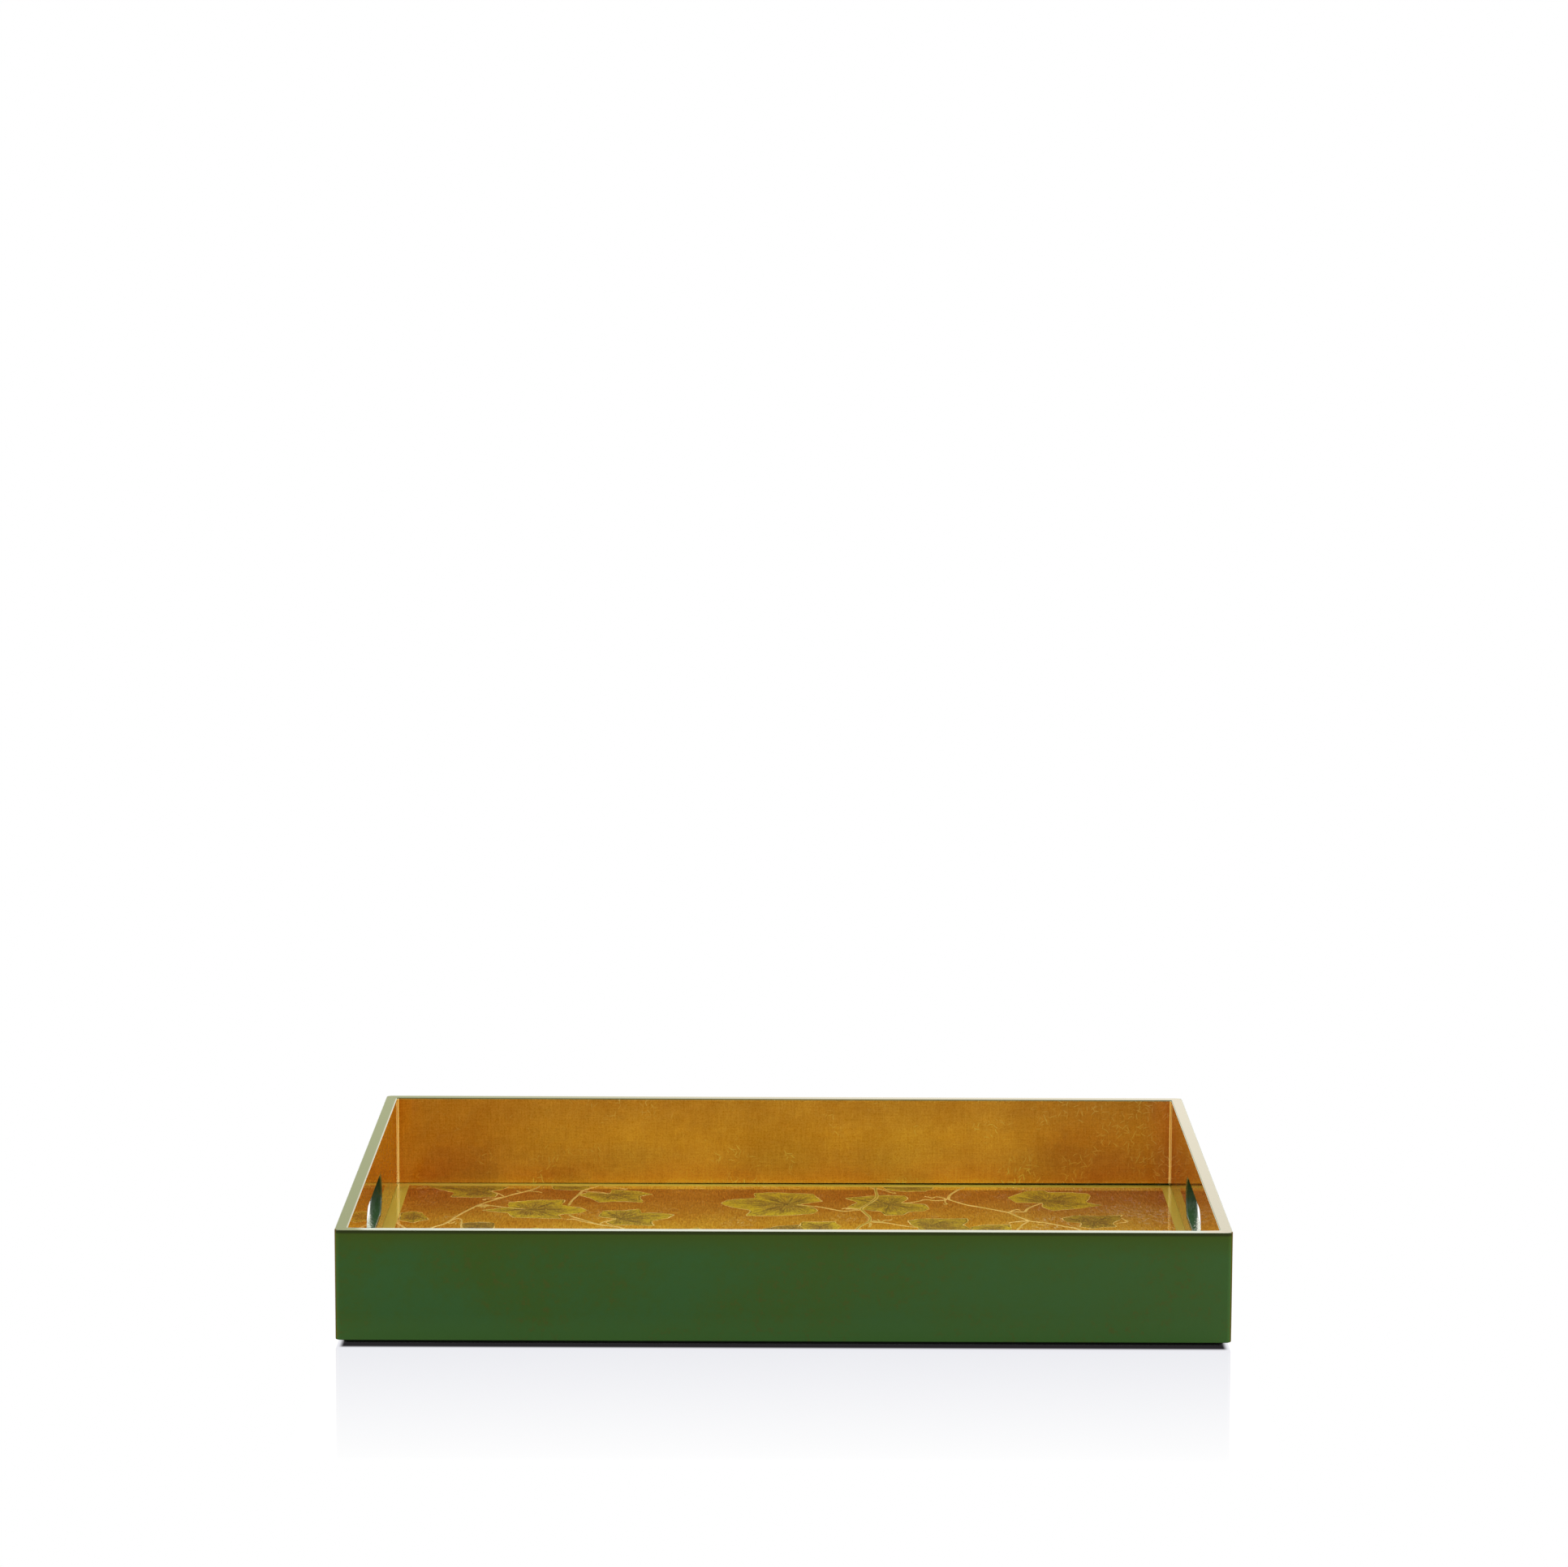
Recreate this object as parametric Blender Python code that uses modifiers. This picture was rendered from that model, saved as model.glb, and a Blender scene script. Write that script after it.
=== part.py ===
"""Rectangular wooden serving tray with mitred walls and a hand hole in each end wall.

Metres, +Z up. The origin is on the table under the middle of the tray. X runs along the
tray's length, and -Y is its front. Touching pieces keep a gap of GAP, which is the glue line.
"""

import math

import bmesh
import bpy
from mathutils import Matrix, Vector

MM = 0.001
GAP = 0.3 * MM
TOLERANCE = 0.01 * MM

# Outer size of the walls
LENGTH = 460 * MM
DEPTH = 330 * MM
RIM_Z = 60.2 * MM
WALL_FOOT_Z = 2.4 * MM
WALL = 6.5 * MM
OUTER_CORNER_RADIUS = 3 * MM
INNER_CORNER_RADIUS = 1.8 * MM
RIM_ROUNDING = 0.8 * MM

# Rebate in the walls' foot, which holds the base panel
LIP = 3.2 * MM
FLOOR_Z = 9.9 * MM
PANEL_FOOT_Z = WALL_FOOT_Z

# Felt sheet glued under the base panel
FELT_INSET = 4 * MM
FELT_CORNER_RADIUS = 2 * MM

# Hand hole: an oblong with round ends, through each end wall
SLOT_LENGTH = 96 * MM
SLOT_HEIGHT = 22.6 * MM
SLOT_Z = 30.9 * MM
SLOT_ROUNDING = 1 * MM
SLOT_SEGMENTS = 10

# Brads, driven below the surface and filled over
PIN_SHANK_RADIUS = 0.6 * MM
PIN_HEAD_RADIUS = 0.95 * MM
PIN_HEAD_THICKNESS = 0.5 * MM
PIN_LENGTH = 16 * MM
PIN_POINT = 1.5 * MM
PIN_SINK = 0.8 * MM
PIN_SEGMENTS = 16
CORNER_PIN_HEIGHTS = (17 * MM, 47 * MM)
LONG_WALL_PIN_PLACES = (-150 * MM, 0, 150 * MM)
END_WALL_PIN_PLACES = (-80 * MM, 80 * MM)

CORNER_SEGMENTS = 6
EDGE_SEGMENTS = 3
SHARP_ANGLE = math.radians(60)
SMOOTH_ANGLE = math.radians(35)
OVERSHOOT = 5 * MM

# Colours: red, green, blue, roughness, metallic
GREEN_LACQUER = (0.040, 0.086, 0.022, 0.25, 0.0)
GOLD_LEAF = (0.62, 0.36, 0.06, 0.30, 1.0)
DARK_FELT = (0.012, 0.014, 0.012, 0.95, 0.0)
BRIGHT_STEEL = (0.55, 0.55, 0.56, 0.35, 1.0)

# Each side of the tray: name, its length, the distance to the opposite side, and its turn
# about Z from the front
SIDES = (
    ("front_wall", LENGTH, DEPTH, 0),
    ("right_end_wall", DEPTH, LENGTH, 90),
    ("back_wall", LENGTH, DEPTH, 180),
    ("left_end_wall", DEPTH, LENGTH, 270),
)


def clear_scene():
    for old in list(bpy.data.objects):
        bpy.data.objects.remove(old)


def new_collection(name):
    collection = bpy.data.collections.new(name)
    bpy.context.scene.collection.children.link(collection)
    return collection


def new_material(name, look):
    material = bpy.data.materials.new(name)
    material.use_nodes = True
    shader = material.node_tree.nodes["Principled BSDF"]
    shader.inputs["Base Color"].default_value = (*look[:3], 1)
    shader.inputs["Roughness"].default_value = look[3]
    shader.inputs["Metallic"].default_value = look[4]
    return material


def add_object(name, mesh, collection, material=None):
    piece = bpy.data.objects.new(name, mesh)
    collection.objects.link(piece)
    if material:
        mesh.materials.clear()
        mesh.materials.append(material)
    return piece


def finish_bmesh(bm, name):
    bmesh.ops.recalc_face_normals(bm, faces=bm.faces)
    mesh = bpy.data.meshes.new(name)
    bm.to_mesh(mesh)
    bm.free()
    return mesh


def is_along(edge, axis):
    """True for an edge that runs along the axis with the given index."""
    run = edge.verts[1].co - edge.verts[0].co
    return abs(abs(run[axis]) - run.length) < TOLERANCE


def box_mesh(name, size, low_z, radius=0, axis=2, segments=CORNER_SEGMENTS):
    """A box centred on Z, with its four edges along one axis rounded."""
    bm = bmesh.new()
    middle = Vector((0, 0, low_z + size[2] / 2))
    place = Matrix.Translation(middle) @ Matrix.Diagonal((*size, 1))
    bmesh.ops.create_cube(bm, size=1, matrix=place)
    if radius:
        edges = [edge for edge in bm.edges if is_along(edge, axis)]
        bmesh.ops.bevel(bm, geom=edges, offset=radius, segments=segments, profile=0.5, affect="EDGES")
    return finish_bmesh(bm, name)


def turned_mesh(name, profile):
    """Half the section of a turned solid, as (radius, height) points from the top down."""
    bm = bmesh.new()
    points = [bm.verts.new((radius, 0, height)) for radius, height in profile]
    for upper, lower in zip(points, points[1:]):
        bm.edges.new((upper, lower))
    mesh = bpy.data.meshes.new(name)
    bm.to_mesh(mesh)
    bm.free()
    return mesh


def add_turned(name, profile, collection, material=None):
    piece = add_object(name, turned_mesh(name, profile), collection, material)
    screw = piece.modifiers.new("turn", "SCREW")
    screw.steps = PIN_SEGMENTS
    screw.render_steps = PIN_SEGMENTS
    screw.use_merge_vertices = True
    screw.merge_threshold = TOLERANCE
    return piece


def as_cutter(piece):
    piece.hide_render = True
    piece.display_type = "WIRE"
    return piece


def add_boolean(piece, operation, cutter):
    boolean = piece.modifiers.new(operation.lower() + "_" + cutter.name, "BOOLEAN")
    boolean.operation = operation
    boolean.solver = "EXACT"
    boolean.object = cutter


def evaluated_mesh(piece):
    """The mesh that an object has once its modifiers are worked out."""
    depsgraph = bpy.context.evaluated_depsgraph_get()
    return bpy.data.meshes.new_from_object(piece.evaluated_get(depsgraph))


def is_sharp(edge):
    return len(edge.link_faces) == 2 and edge.calc_face_angle() > SHARP_ANGLE


def round_edges(mesh, width, wanted):
    """Round the sharp edges for which wanted(edge) is true."""
    bm = bmesh.new()
    bm.from_mesh(mesh)
    bmesh.ops.remove_doubles(bm, verts=bm.verts, dist=TOLERANCE)
    edges = [edge for edge in bm.edges if is_sharp(edge) and wanted(edge)]
    bmesh.ops.bevel(bm, geom=edges, offset=width, segments=EDGE_SEGMENTS, profile=0.5, affect="EDGES")
    bm.to_mesh(mesh)
    bm.free()


def lies_on_rim(edge):
    return all(abs(vert.co.z - RIM_Z) < TOLERANCE for vert in edge.verts)


def lies_on_slot_mouth(edge):
    """True for an edge round a hand hole, on the inner or outer face of an end wall."""
    inner_x = LENGTH / 2 - WALL
    for vert in edge.verts:
        on_face = min(abs(abs(vert.co.x) - inner_x), abs(abs(vert.co.x) - LENGTH / 2)) < TOLERANCE
        in_slot = abs(vert.co.y) < SLOT_LENGTH / 2 + MM and abs(vert.co.z - SLOT_Z) < SLOT_HEIGHT / 2 + MM
        if not (on_face and in_slot):
            return False
    return True


def wall_ring_mesh(cutters):
    """All four walls as one ring, with the rebate, the hand holes and the rounded edges."""
    height = RIM_Z - WALL_FOOT_Z
    ring = add_object(
        "wall_ring",
        box_mesh("wall_ring", (LENGTH, DEPTH, height), WALL_FOOT_Z, OUTER_CORNER_RADIUS),
        cutters,
    )
    well_size = (LENGTH - 2 * WALL, DEPTH - 2 * WALL, height + 2 * OVERSHOOT)
    rebate_size = (LENGTH - 2 * LIP, DEPTH - 2 * LIP, FLOOR_Z + GAP - WALL_FOOT_Z + OVERSHOOT)
    slot_size = (LENGTH + 2 * OVERSHOOT, SLOT_LENGTH, SLOT_HEIGHT)
    cuts = (
        ("well", box_mesh("well", well_size, WALL_FOOT_Z - OVERSHOOT, INNER_CORNER_RADIUS)),
        ("rebate", box_mesh("rebate", rebate_size, WALL_FOOT_Z - OVERSHOOT)),
        ("hand_holes", box_mesh("hand_holes", slot_size, SLOT_Z - SLOT_HEIGHT / 2,
                                SLOT_HEIGHT / 2 - TOLERANCE, axis=0, segments=SLOT_SEGMENTS)),
    )
    for name, mesh in cuts:
        add_boolean(ring, "DIFFERENCE", as_cutter(add_object(name, mesh, cutters)))
    mesh = evaluated_mesh(ring)
    bpy.data.objects.remove(ring)
    round_edges(mesh, RIM_ROUNDING, lies_on_rim)
    round_edges(mesh, SLOT_ROUNDING, lies_on_slot_mouth)
    mesh.shade_smooth()
    mesh.set_sharp_from_angle(angle=SMOOTH_ANGLE)
    return mesh


def side_empty(name, turn, collection):
    """An empty whose frame has the side's wall in front, running along its X."""
    empty = bpy.data.objects.new(name + "_side", None)
    collection.objects.link(empty)
    empty.rotation_euler = (0, 0, math.radians(turn))
    return empty


def mitre_wedge(name, length, span, side, cutters):
    """A prism over one wall whose ends follow the 45 degree mitres, less half the gap."""
    half_gap_along = GAP / 2 * math.sqrt(2)
    front_y = -span / 2 - OVERSHOOT
    back_y = -span / 2 + WALL + OVERSHOOT
    bm = bmesh.new()
    bmesh.ops.create_cube(bm, size=1)
    for vert in bm.verts:
        y = back_y if vert.co.y > 0 else front_y
        half_length = length / 2 - (y + span / 2) - half_gap_along
        vert.co.x = math.copysign(half_length, vert.co.x)
        vert.co.y = y
        vert.co.z = RIM_Z + OVERSHOOT if vert.co.z > 0 else WALL_FOOT_Z - OVERSHOOT
    wedge = add_object(name + "_mitres", finish_bmesh(bm, name + "_mitres"), cutters)
    wedge.parent = side
    return as_cutter(wedge)


def pin_profile(clearance=0.0):
    """Half section of a brad with its head up at Z = 0, grown on all sides by the clearance."""
    shank = PIN_SHANK_RADIUS + clearance
    head = PIN_HEAD_RADIUS + clearance
    head_foot = -PIN_HEAD_THICKNESS - clearance
    return (
        (0, clearance),
        (head, clearance),
        (head, head_foot),
        (shank, head_foot),
        (shank, -PIN_LENGTH + PIN_POINT - clearance),
        (0, -PIN_LENGTH - clearance),
    )


def place_on_side(piece, side, span, x, z):
    """Lay a brad on one side of the tray, with its head out and its point inwards."""
    piece.parent = side
    piece.location = (x, -span / 2 + PIN_SINK, z)
    piece.rotation_euler = (math.radians(90), 0, 0)


def add_pin(name, side, span, x, z, material, parts, cutters):
    """One brad, and the cutter for its hole."""
    pin = add_turned(name, pin_profile(), parts, material)
    place_on_side(pin, side, span, x, z)
    hole = as_cutter(add_turned(name + "_hole", pin_profile(GAP), cutters))
    place_on_side(hole, side, span, x, z)
    return hole


def corner_pin_places(length):
    """Where the brads of an end wall's two mitres go, as (x, z) on that side."""
    middle_of_long_wall = length / 2 - WALL / 2
    return [(x, z) for x in (-middle_of_long_wall, middle_of_long_wall) for z in CORNER_PIN_HEIGHTS]


def build_tray():
    clear_scene()
    parts = new_collection("serving_tray")
    cutters = new_collection("cutters")
    green = new_material("green_lacquer", GREEN_LACQUER)
    gold = new_material("gold_leaf", GOLD_LEAF)
    felt = new_material("dark_felt", DARK_FELT)
    steel = new_material("bright_steel", BRIGHT_STEEL)

    ring = wall_ring_mesh(cutters)
    walls = {}
    sides = {}
    for name, length, span, turn in SIDES:
        sides[name] = side_empty(name, turn, parts)
        walls[name] = add_object(name, ring.copy(), parts, green)
        add_boolean(walls[name], "INTERSECT", mitre_wedge(name, length, span, sides[name], cutters))

    panel_size = (LENGTH - 2 * LIP - 2 * GAP, DEPTH - 2 * LIP - 2 * GAP, FLOOR_Z - PANEL_FOOT_Z)
    panel = add_object("base_panel", box_mesh("base_panel", panel_size, PANEL_FOOT_Z), parts, gold)

    felt_size = (LENGTH - 2 * FELT_INSET, DEPTH - 2 * FELT_INSET, PANEL_FOOT_Z - GAP)
    add_object("felt_pad", box_mesh("felt_pad", felt_size, 0, FELT_CORNER_RADIUS), parts, felt)

    # Corner brads: through the end wall's mitre into the end of the long wall
    number = 0
    for name, length, span, turn in SIDES:
        if not name.endswith("_end_wall"):
            continue
        for x, z in corner_pin_places(length):
            number += 1
            hole = add_pin(f"corner_pin_{number}", sides[name], span, x, z, steel, parts, cutters)
            at_front = (x < 0) == (name == "right_end_wall")
            for wall in (name, "front_wall" if at_front else "back_wall"):
                add_boolean(walls[wall], "DIFFERENCE", hole)

    # Base brads: through the wall's lip into the edge of the base panel
    number = 0
    pin_z = (PANEL_FOOT_Z + FLOOR_Z) / 2
    for name, length, span, turn in SIDES:
        places = END_WALL_PIN_PLACES if name.endswith("_end_wall") else LONG_WALL_PIN_PLACES
        for x in places:
            number += 1
            hole = add_pin(f"base_pin_{number}", sides[name], span, x, pin_z, steel, parts, cutters)
            add_boolean(walls[name], "DIFFERENCE", hole)
            add_boolean(panel, "DIFFERENCE", hole)

    bpy.data.meshes.remove(ring)


build_tray()
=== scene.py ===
"""Looks of a rectangular serving tray: green lacquer outside, gold leaf and painted ivy inside.

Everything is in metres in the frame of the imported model: X along the tray, -Y its front, +Z up.
Ivy is laid out in millimetres from the middle of the floor panel.
"""

import math

import bmesh
import bpy
import numpy as np
from mathutils import Matrix, Vector, noise


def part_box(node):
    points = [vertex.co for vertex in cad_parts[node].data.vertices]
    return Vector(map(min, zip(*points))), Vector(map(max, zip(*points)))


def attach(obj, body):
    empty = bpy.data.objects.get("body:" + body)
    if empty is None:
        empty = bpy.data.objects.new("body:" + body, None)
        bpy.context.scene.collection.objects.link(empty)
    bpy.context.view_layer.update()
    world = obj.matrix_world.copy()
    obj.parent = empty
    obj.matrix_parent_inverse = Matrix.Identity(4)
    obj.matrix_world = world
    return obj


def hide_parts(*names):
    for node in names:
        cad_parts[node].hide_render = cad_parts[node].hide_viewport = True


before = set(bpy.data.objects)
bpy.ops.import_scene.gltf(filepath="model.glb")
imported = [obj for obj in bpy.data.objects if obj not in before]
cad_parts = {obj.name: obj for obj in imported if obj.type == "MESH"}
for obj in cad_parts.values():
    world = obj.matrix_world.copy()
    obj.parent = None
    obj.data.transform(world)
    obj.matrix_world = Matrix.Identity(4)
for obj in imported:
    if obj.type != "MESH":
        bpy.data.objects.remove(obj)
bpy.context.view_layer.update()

MM = 0.001

# Blender's vector noise starts from the clock unless it is seeded.
NOISE_SEED = 1
noise.seed_set(NOISE_SEED)

# ---------------- sizes taken from the frame
FOOT_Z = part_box("front_wall")[0].z
RIM_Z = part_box("front_wall")[1].z
HALF_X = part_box("right_end_wall")[1].x
HALF_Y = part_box("back_wall")[1].y
FLOOR_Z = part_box("base_panel")[1].z
FELT_LOW, FELT_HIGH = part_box("felt_pad")

# ---------------- sizes of the walls' section
TOLERANCE = 0.01 * MM
WALL = 6.5 * MM
LIP = 3.2 * MM
PANEL_GAP = 0.3 * MM
RIM_ROUNDING = 0.8 * MM
RIM_EDGE_ROUNDING = 0.35 * MM
FOOT_ROUNDING = 0.4 * MM
OUTER_CORNER_RADIUS = 3 * MM
INNER_CORNER_RADIUS = 1.2 * MM
REBATE_CORNER_RADIUS = 0.3 * MM
ARC_SEGMENTS = 6
CORNER_SEGMENTS = 10

# The front rim falls a little towards the inside, except within LEAN_FADE of the corners.
# The gap under the back wall widens from the tray's left end to its right end.
FRONT_RIM_LEAN = 0.22 * MM
LEAN_FADE = 16 * MM
GAP_LEFT = 0.2 * MM
GAP_RIGHT = 1.4 * MM

# ---------------- hand holes
SLOT_LENGTH = 96 * MM
SLOT_HEIGHT = 22.6 * MM
SLOT_Z = FOOT_Z + 28.5 * MM
SLOT_ROUNDING = 1 * MM
SLOT_SEGMENTS = 32

# ---------------- paint on the floor
BORDER_WIDTHS = {"left": 7.2 * MM, "right": 5.4 * MM, "back": 6.0 * MM, "front": 6.3 * MM}
BORDER_HEIGHT = 0.04 * MM
LEAF_HEIGHT = 0.05 * MM
VEIN_HEIGHT = 0.02 * MM
STEM_HEIGHT = 0.10 * MM
STALK_HEIGHT = 0.07 * MM
OUTLINE_HEIGHT = 0.02 * MM
BEAD_LIFT = 0.06 * MM
BEAD_ANGLES = (0, 30, 60, 75, 90, 105, 120, 150, 180)
PAINT_SINK = 0.05 * MM
OUTLINE_RADIUS = 0.36

# A leaf's mesh: points round it, and where its rings lie between its hub and its edge
LEAF_POINTS = 150
LEAF_RINGS = (0.0, 0.12, 0.24, 0.36, 0.48, 0.6, 0.7, 0.78, 0.85, 0.9, 0.94, 0.965, 0.985, 1.0)

# Brush work, in mm: how far and how often a leaf's edge strays and a line swells or breaks off
EDGE_WOBBLE = 0.7
WOBBLES_PER_MM = 0.22
SWELLS_PER_MM = 0.09
BREAKS_PER_MM = 0.11
VEIN_RADIUS = 0.5
WIDTH_PER_RADIUS = 2.25
TENDRIL_WIDTH = 1.1
TENDRIL_STEPS = 26

# Gold leaf: side of its square sheets in mm, and where the painted highlight in the inner corners begins and
# is full, in mm past the start of the corner's rounding
LEAF_SHEET = 83.0
CORNER_HIGHLIGHT = (0.45, 0.6)

# Darker places on the gold of the back wall: x, z, reach in mm, and how dark
DARK_PLACES = (
    (174, 27, 46, 0.95),
    (-196, 20, 42, 0.7),
)
DARK_PLACE_FLATNESS = 1.3

# ---------------- camera
CAMERA_PLACE = Vector((0.0005, -2.5716, 0.6411 + FOOT_Z))
CAMERA_YAW = math.radians(-0.026)
CAMERA_PITCH = math.radians(8.313)
CAMERA_ROLL = math.radians(0.189)
CAMERA_LENS = 110.7
SENSOR_WIDTH = 36.0

# ---------------- felt
FELT_CORNER_RADIUS = 2 * MM
FELT_EDGE_ROUNDING = 0.5 * MM
FELT_EDGE_STEPS = 60
FELT_FUZZ = 0.12 * MM
FUZZ_PER_METRE = 900

# ---------------- table
TABLE_GAP = 0.05 * MM
TABLE_HALF_SIDE = 12
MIRROR_STRENGTH = 0.17
MIRROR_REACH = 0.22
MIRROR_SIDE_FADE = 6 * MM
# From full to none, measured outwards from the tray's outline: the painted shadow under it at its sides and
# at its front, and the opening in the table through which light reaches its underside
SHADOW_SIDES = (-4.5 * MM, -1.5 * MM)
SHADOW_FRONT = (1.5 * MM, 6 * MM)
LIGHT_OPENING = (-5 * MM, -3 * MM)

SHARP_ANGLE = math.radians(40)
PAINT_SHARP_ANGLE = math.radians(60)

FOOT_MM = FOOT_Z / MM
RIM_MM = RIM_Z / MM
FLOOR_MM = FLOOR_Z / MM

# The inner faces of the walls
INSIDE_X_MM = (HALF_X - WALL) / MM
INSIDE_Y_MM = (HALF_Y - WALL) / MM

# Where the rounding of the upright corners starts, in x and y
OUTER_CORNER_MM = (
    (HALF_X - OUTER_CORNER_RADIUS) / MM,
    (HALF_Y - OUTER_CORNER_RADIUS) / MM,
)
INNER_CORNER_MM = (
    INSIDE_X_MM - INNER_CORNER_RADIUS / MM,
    INSIDE_Y_MM - INNER_CORNER_RADIUS / MM,
)

# Along the floor's back: a painted highlight line on the gold, then the paler part of the border
BRIGHT_LINE_MM = (INSIDE_Y_MM - 14.5, INSIDE_Y_MM - 11.5)
PALE_BORDER_MM = (INSIDE_Y_MM - 10.5, INSIDE_Y_MM - 6.5)

# From none to all of the painted light and shade that the end walls and the ends of the long walls have
END_SHADE_MM = (INSIDE_X_MM - 17.5, INSIDE_X_MM - 1.5)

# Materials of a wall, by index
GREEN, GOLD, TUNNEL = 0, 1, 2

# Each side: name, half its length, half the distance to the opposite side, turn about Z
SIDES = (
    ("front_wall", HALF_X, HALF_Y, 0),
    ("right_end_wall", HALF_Y, HALF_X, 90),
    ("back_wall", HALF_X, HALF_Y, 180),
    ("left_end_wall", HALF_Y, HALF_X, 270),
)

# Ivy leaves in full view: how brown the leaf has turned (0 to 1), where its veins meet, its outline
LEAVES = (
    (0.3, (-174, 137), (
        (-206, 151), (-197, 141.5), (-189.5, 134.5), (-190.5, 123.5), (-178, 122.5), (-165, 124.5),
        (-164, 131), (-169, 138.5), (-162, 142), (-159, 150), (-168, 154), (-193, 154))),
    (0.15, (-143, 94), (
        (-156.5, 111), (-143, 116.5), (-124.5, 117.5), (-126.5, 105), (-116, 98.5), (-111, 92.5),
        (-115, 85), (-127, 81), (-124.5, 71.5), (-138, 72.5), (-152.5, 74.5), (-155.5, 84.5),
        (-171, 91), (-156, 99), (-157, 105))),
    (0.1, (-122, 148), (
        (-134.5, 154), (-132.5, 144), (-124, 141.5), (-113.5, 141.5), (-111.5, 147), (-112.5, 154))),
    (0.2, (-98, 131), (
        (-99, 143.5), (-85, 140.5), (-75, 132), (-82.5, 127), (-80, 111.5), (-93, 114),
        (-105.5, 111.5), (-111, 122), (-118, 130), (-112, 136.5), (-99.8, 133.5))),
    (0.3, (-92, 72), (
        (-101.5, 91.5), (-90, 91.5), (-82, 96), (-80.5, 86), (-70, 86), (-61.5, 82.5), (-65, 73.5),
        (-74, 66.5), (-72.5, 55.5), (-84, 57), (-95, 56.5), (-99.5, 63), (-94.5, 71), (-104.5, 77),
        (-103.5, 84))),
    (0.3, (-208, 77), (
        (-209, 88), (-204, 84.5), (-201, 75), (-199, 68), (-203, 66), (-207.5, 60.5), (-213, 64),
        (-218, 68), (-218, 82), (-213, 86))),
    (0.9, (-171, 55), (
        (-181, 60), (-171, 62.5), (-161.5, 61), (-161.5, 48), (-166, 36), (-172, 31), (-178, 37),
        (-179.5, 48))),
    (0.15, (2, 108), (
        (-35.5, 111), (-32.5, 118.5), (-25, 121), (-16.5, 123.5), (-17.5, 135.5), (-8, 137.5),
        (17, 134), (19.5, 124), (22, 116), (14, 111), (8.5, 108.5), (16, 101.5), (19.3, 94),
        (17.5, 86), (0, 80.5), (-21.5, 79.5), (-18.5, 93), (-29, 100.5), (-34.5, 106))),
    (0.3, (60, 110), (
        (35, 124), (46, 128.5), (57, 131.5), (69.5, 130.5), (71, 121), (66.5, 113), (80.5, 109.5),
        (82.5, 98), (79.5, 92.5), (71, 91), (67.5, 83.5), (57, 82), (55, 91.5), (46, 95),
        (35.5, 102), (42, 113))),
    (0.35, (71, 150), (
        (56.5, 154), (60, 145), (64, 142), (72, 141), (81, 141.5), (85, 146), (87, 154))),
    (0.2, (150, 118), (
        (140, 144), (150.5, 145), (152, 140.5), (164, 140), (175, 137.5), (175.8, 130),
        (172, 115.5), (181.5, 108.5), (170, 101.5), (152, 94.5), (146.5, 104), (147.5, 113.5),
        (132.5, 114), (128, 127), (134.5, 136))),
    (0.8, (174, 68), (
        (156, 76.5), (165, 83.5), (178, 81.5), (191, 85), (188.5, 73.5), (184.3, 65), (185.8, 56.5),
        (178, 55.5), (172, 52), (165.5, 57), (166.5, 65.5), (158.5, 67.5))),
    (0.4, (82, 58), (
        (69.5, 70), (79, 75), (90, 74.5), (103, 75.5), (103.5, 67), (100.3, 59.5), (106, 48),
        (97, 40), (84, 35), (75, 41), (75.5, 51), (71, 60))),
    (0.2, (116, 50), (
        (104.5, 55.5), (113, 60), (126.5, 61), (126.5, 48), (120, 38), (110, 40), (103, 47))),
    (0.95, (2, 46), (
        (-12, 49), (-3, 55.5), (8.5, 59), (13, 46), (2, 36), (-8, 41))),
    (0.1, (20, 54), (
        (10.5, 66.5), (19, 65.5), (28.5, 67), (32, 54), (28, 44), (20, 37), (11, 43), (8, 55))),
)

# Ivy leaves nearer the front, all of one shape: x, y, length towards the tip, width,
# direction of the tip in degrees, and how brown the leaf has turned
PLAIN_LEAVES = (
    (-138, 26, 52, 46, 20, 0.1),
    (-52, 30, 46, 40, 150, 0.2),
    (-30, -8, 56, 52, 185, 0.1),
    (75, 4, 50, 46, 20, 0.1),
    (128, 6, 40, 36, 160, 0.5),
    (203, 20, 26, 22, 80, 0.1),
    (-158, -36, 54, 50, 10, 0.2),
    (-112, -26, 38, 34, -60, 0.7),
    (-203, -70, 28, 22, 100, 0.1),
    (-22, -62, 50, 44, 20, 0.1),
    (68, -48, 58, 54, -10, 0.1),
    (142, -42, 50, 46, 165, 0.1),
    (204, -62, 26, 24, -80, 0.6),
    (-146, -98, 46, 40, -20, 0.1),
    (-100, -84, 40, 38, 30, 0.3),
    (-8, -118, 52, 44, 170, 0.1),
    (84, -112, 46, 42, 10, 0.8),
    (136, -96, 44, 42, 200, 0.1),
    (-158, -138, 34, 26, 15, 0.4),
    (-104, -132, 38, 32, -30, 0.1),
    (140, -140, 34, 24, 10, 0.2),
    (204, -122, 26, 22, 100, 0.1),
)

# The plain leaf: its veins' meeting point and its outline, in shares of its length and width
PLAIN_HUB = (-0.20, 0)
PLAIN_OUTLINE = (
    (0.50, 0), (0.36, 0.10), (0.22, 0.18), (0.23, 0.34), (0.16, 0.50), (0.02, 0.43), (-0.12, 0.35),
    (-0.28, 0.42), (-0.42, 0.40), (-0.46, 0.24), (-0.40, 0.10), (-0.30, 0), (-0.40, -0.10),
    (-0.46, -0.24), (-0.42, -0.40), (-0.28, -0.42), (-0.12, -0.35), (0.02, -0.43), (0.16, -0.50),
    (0.23, -0.34), (0.22, -0.18), (0.36, -0.10),
)

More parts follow.
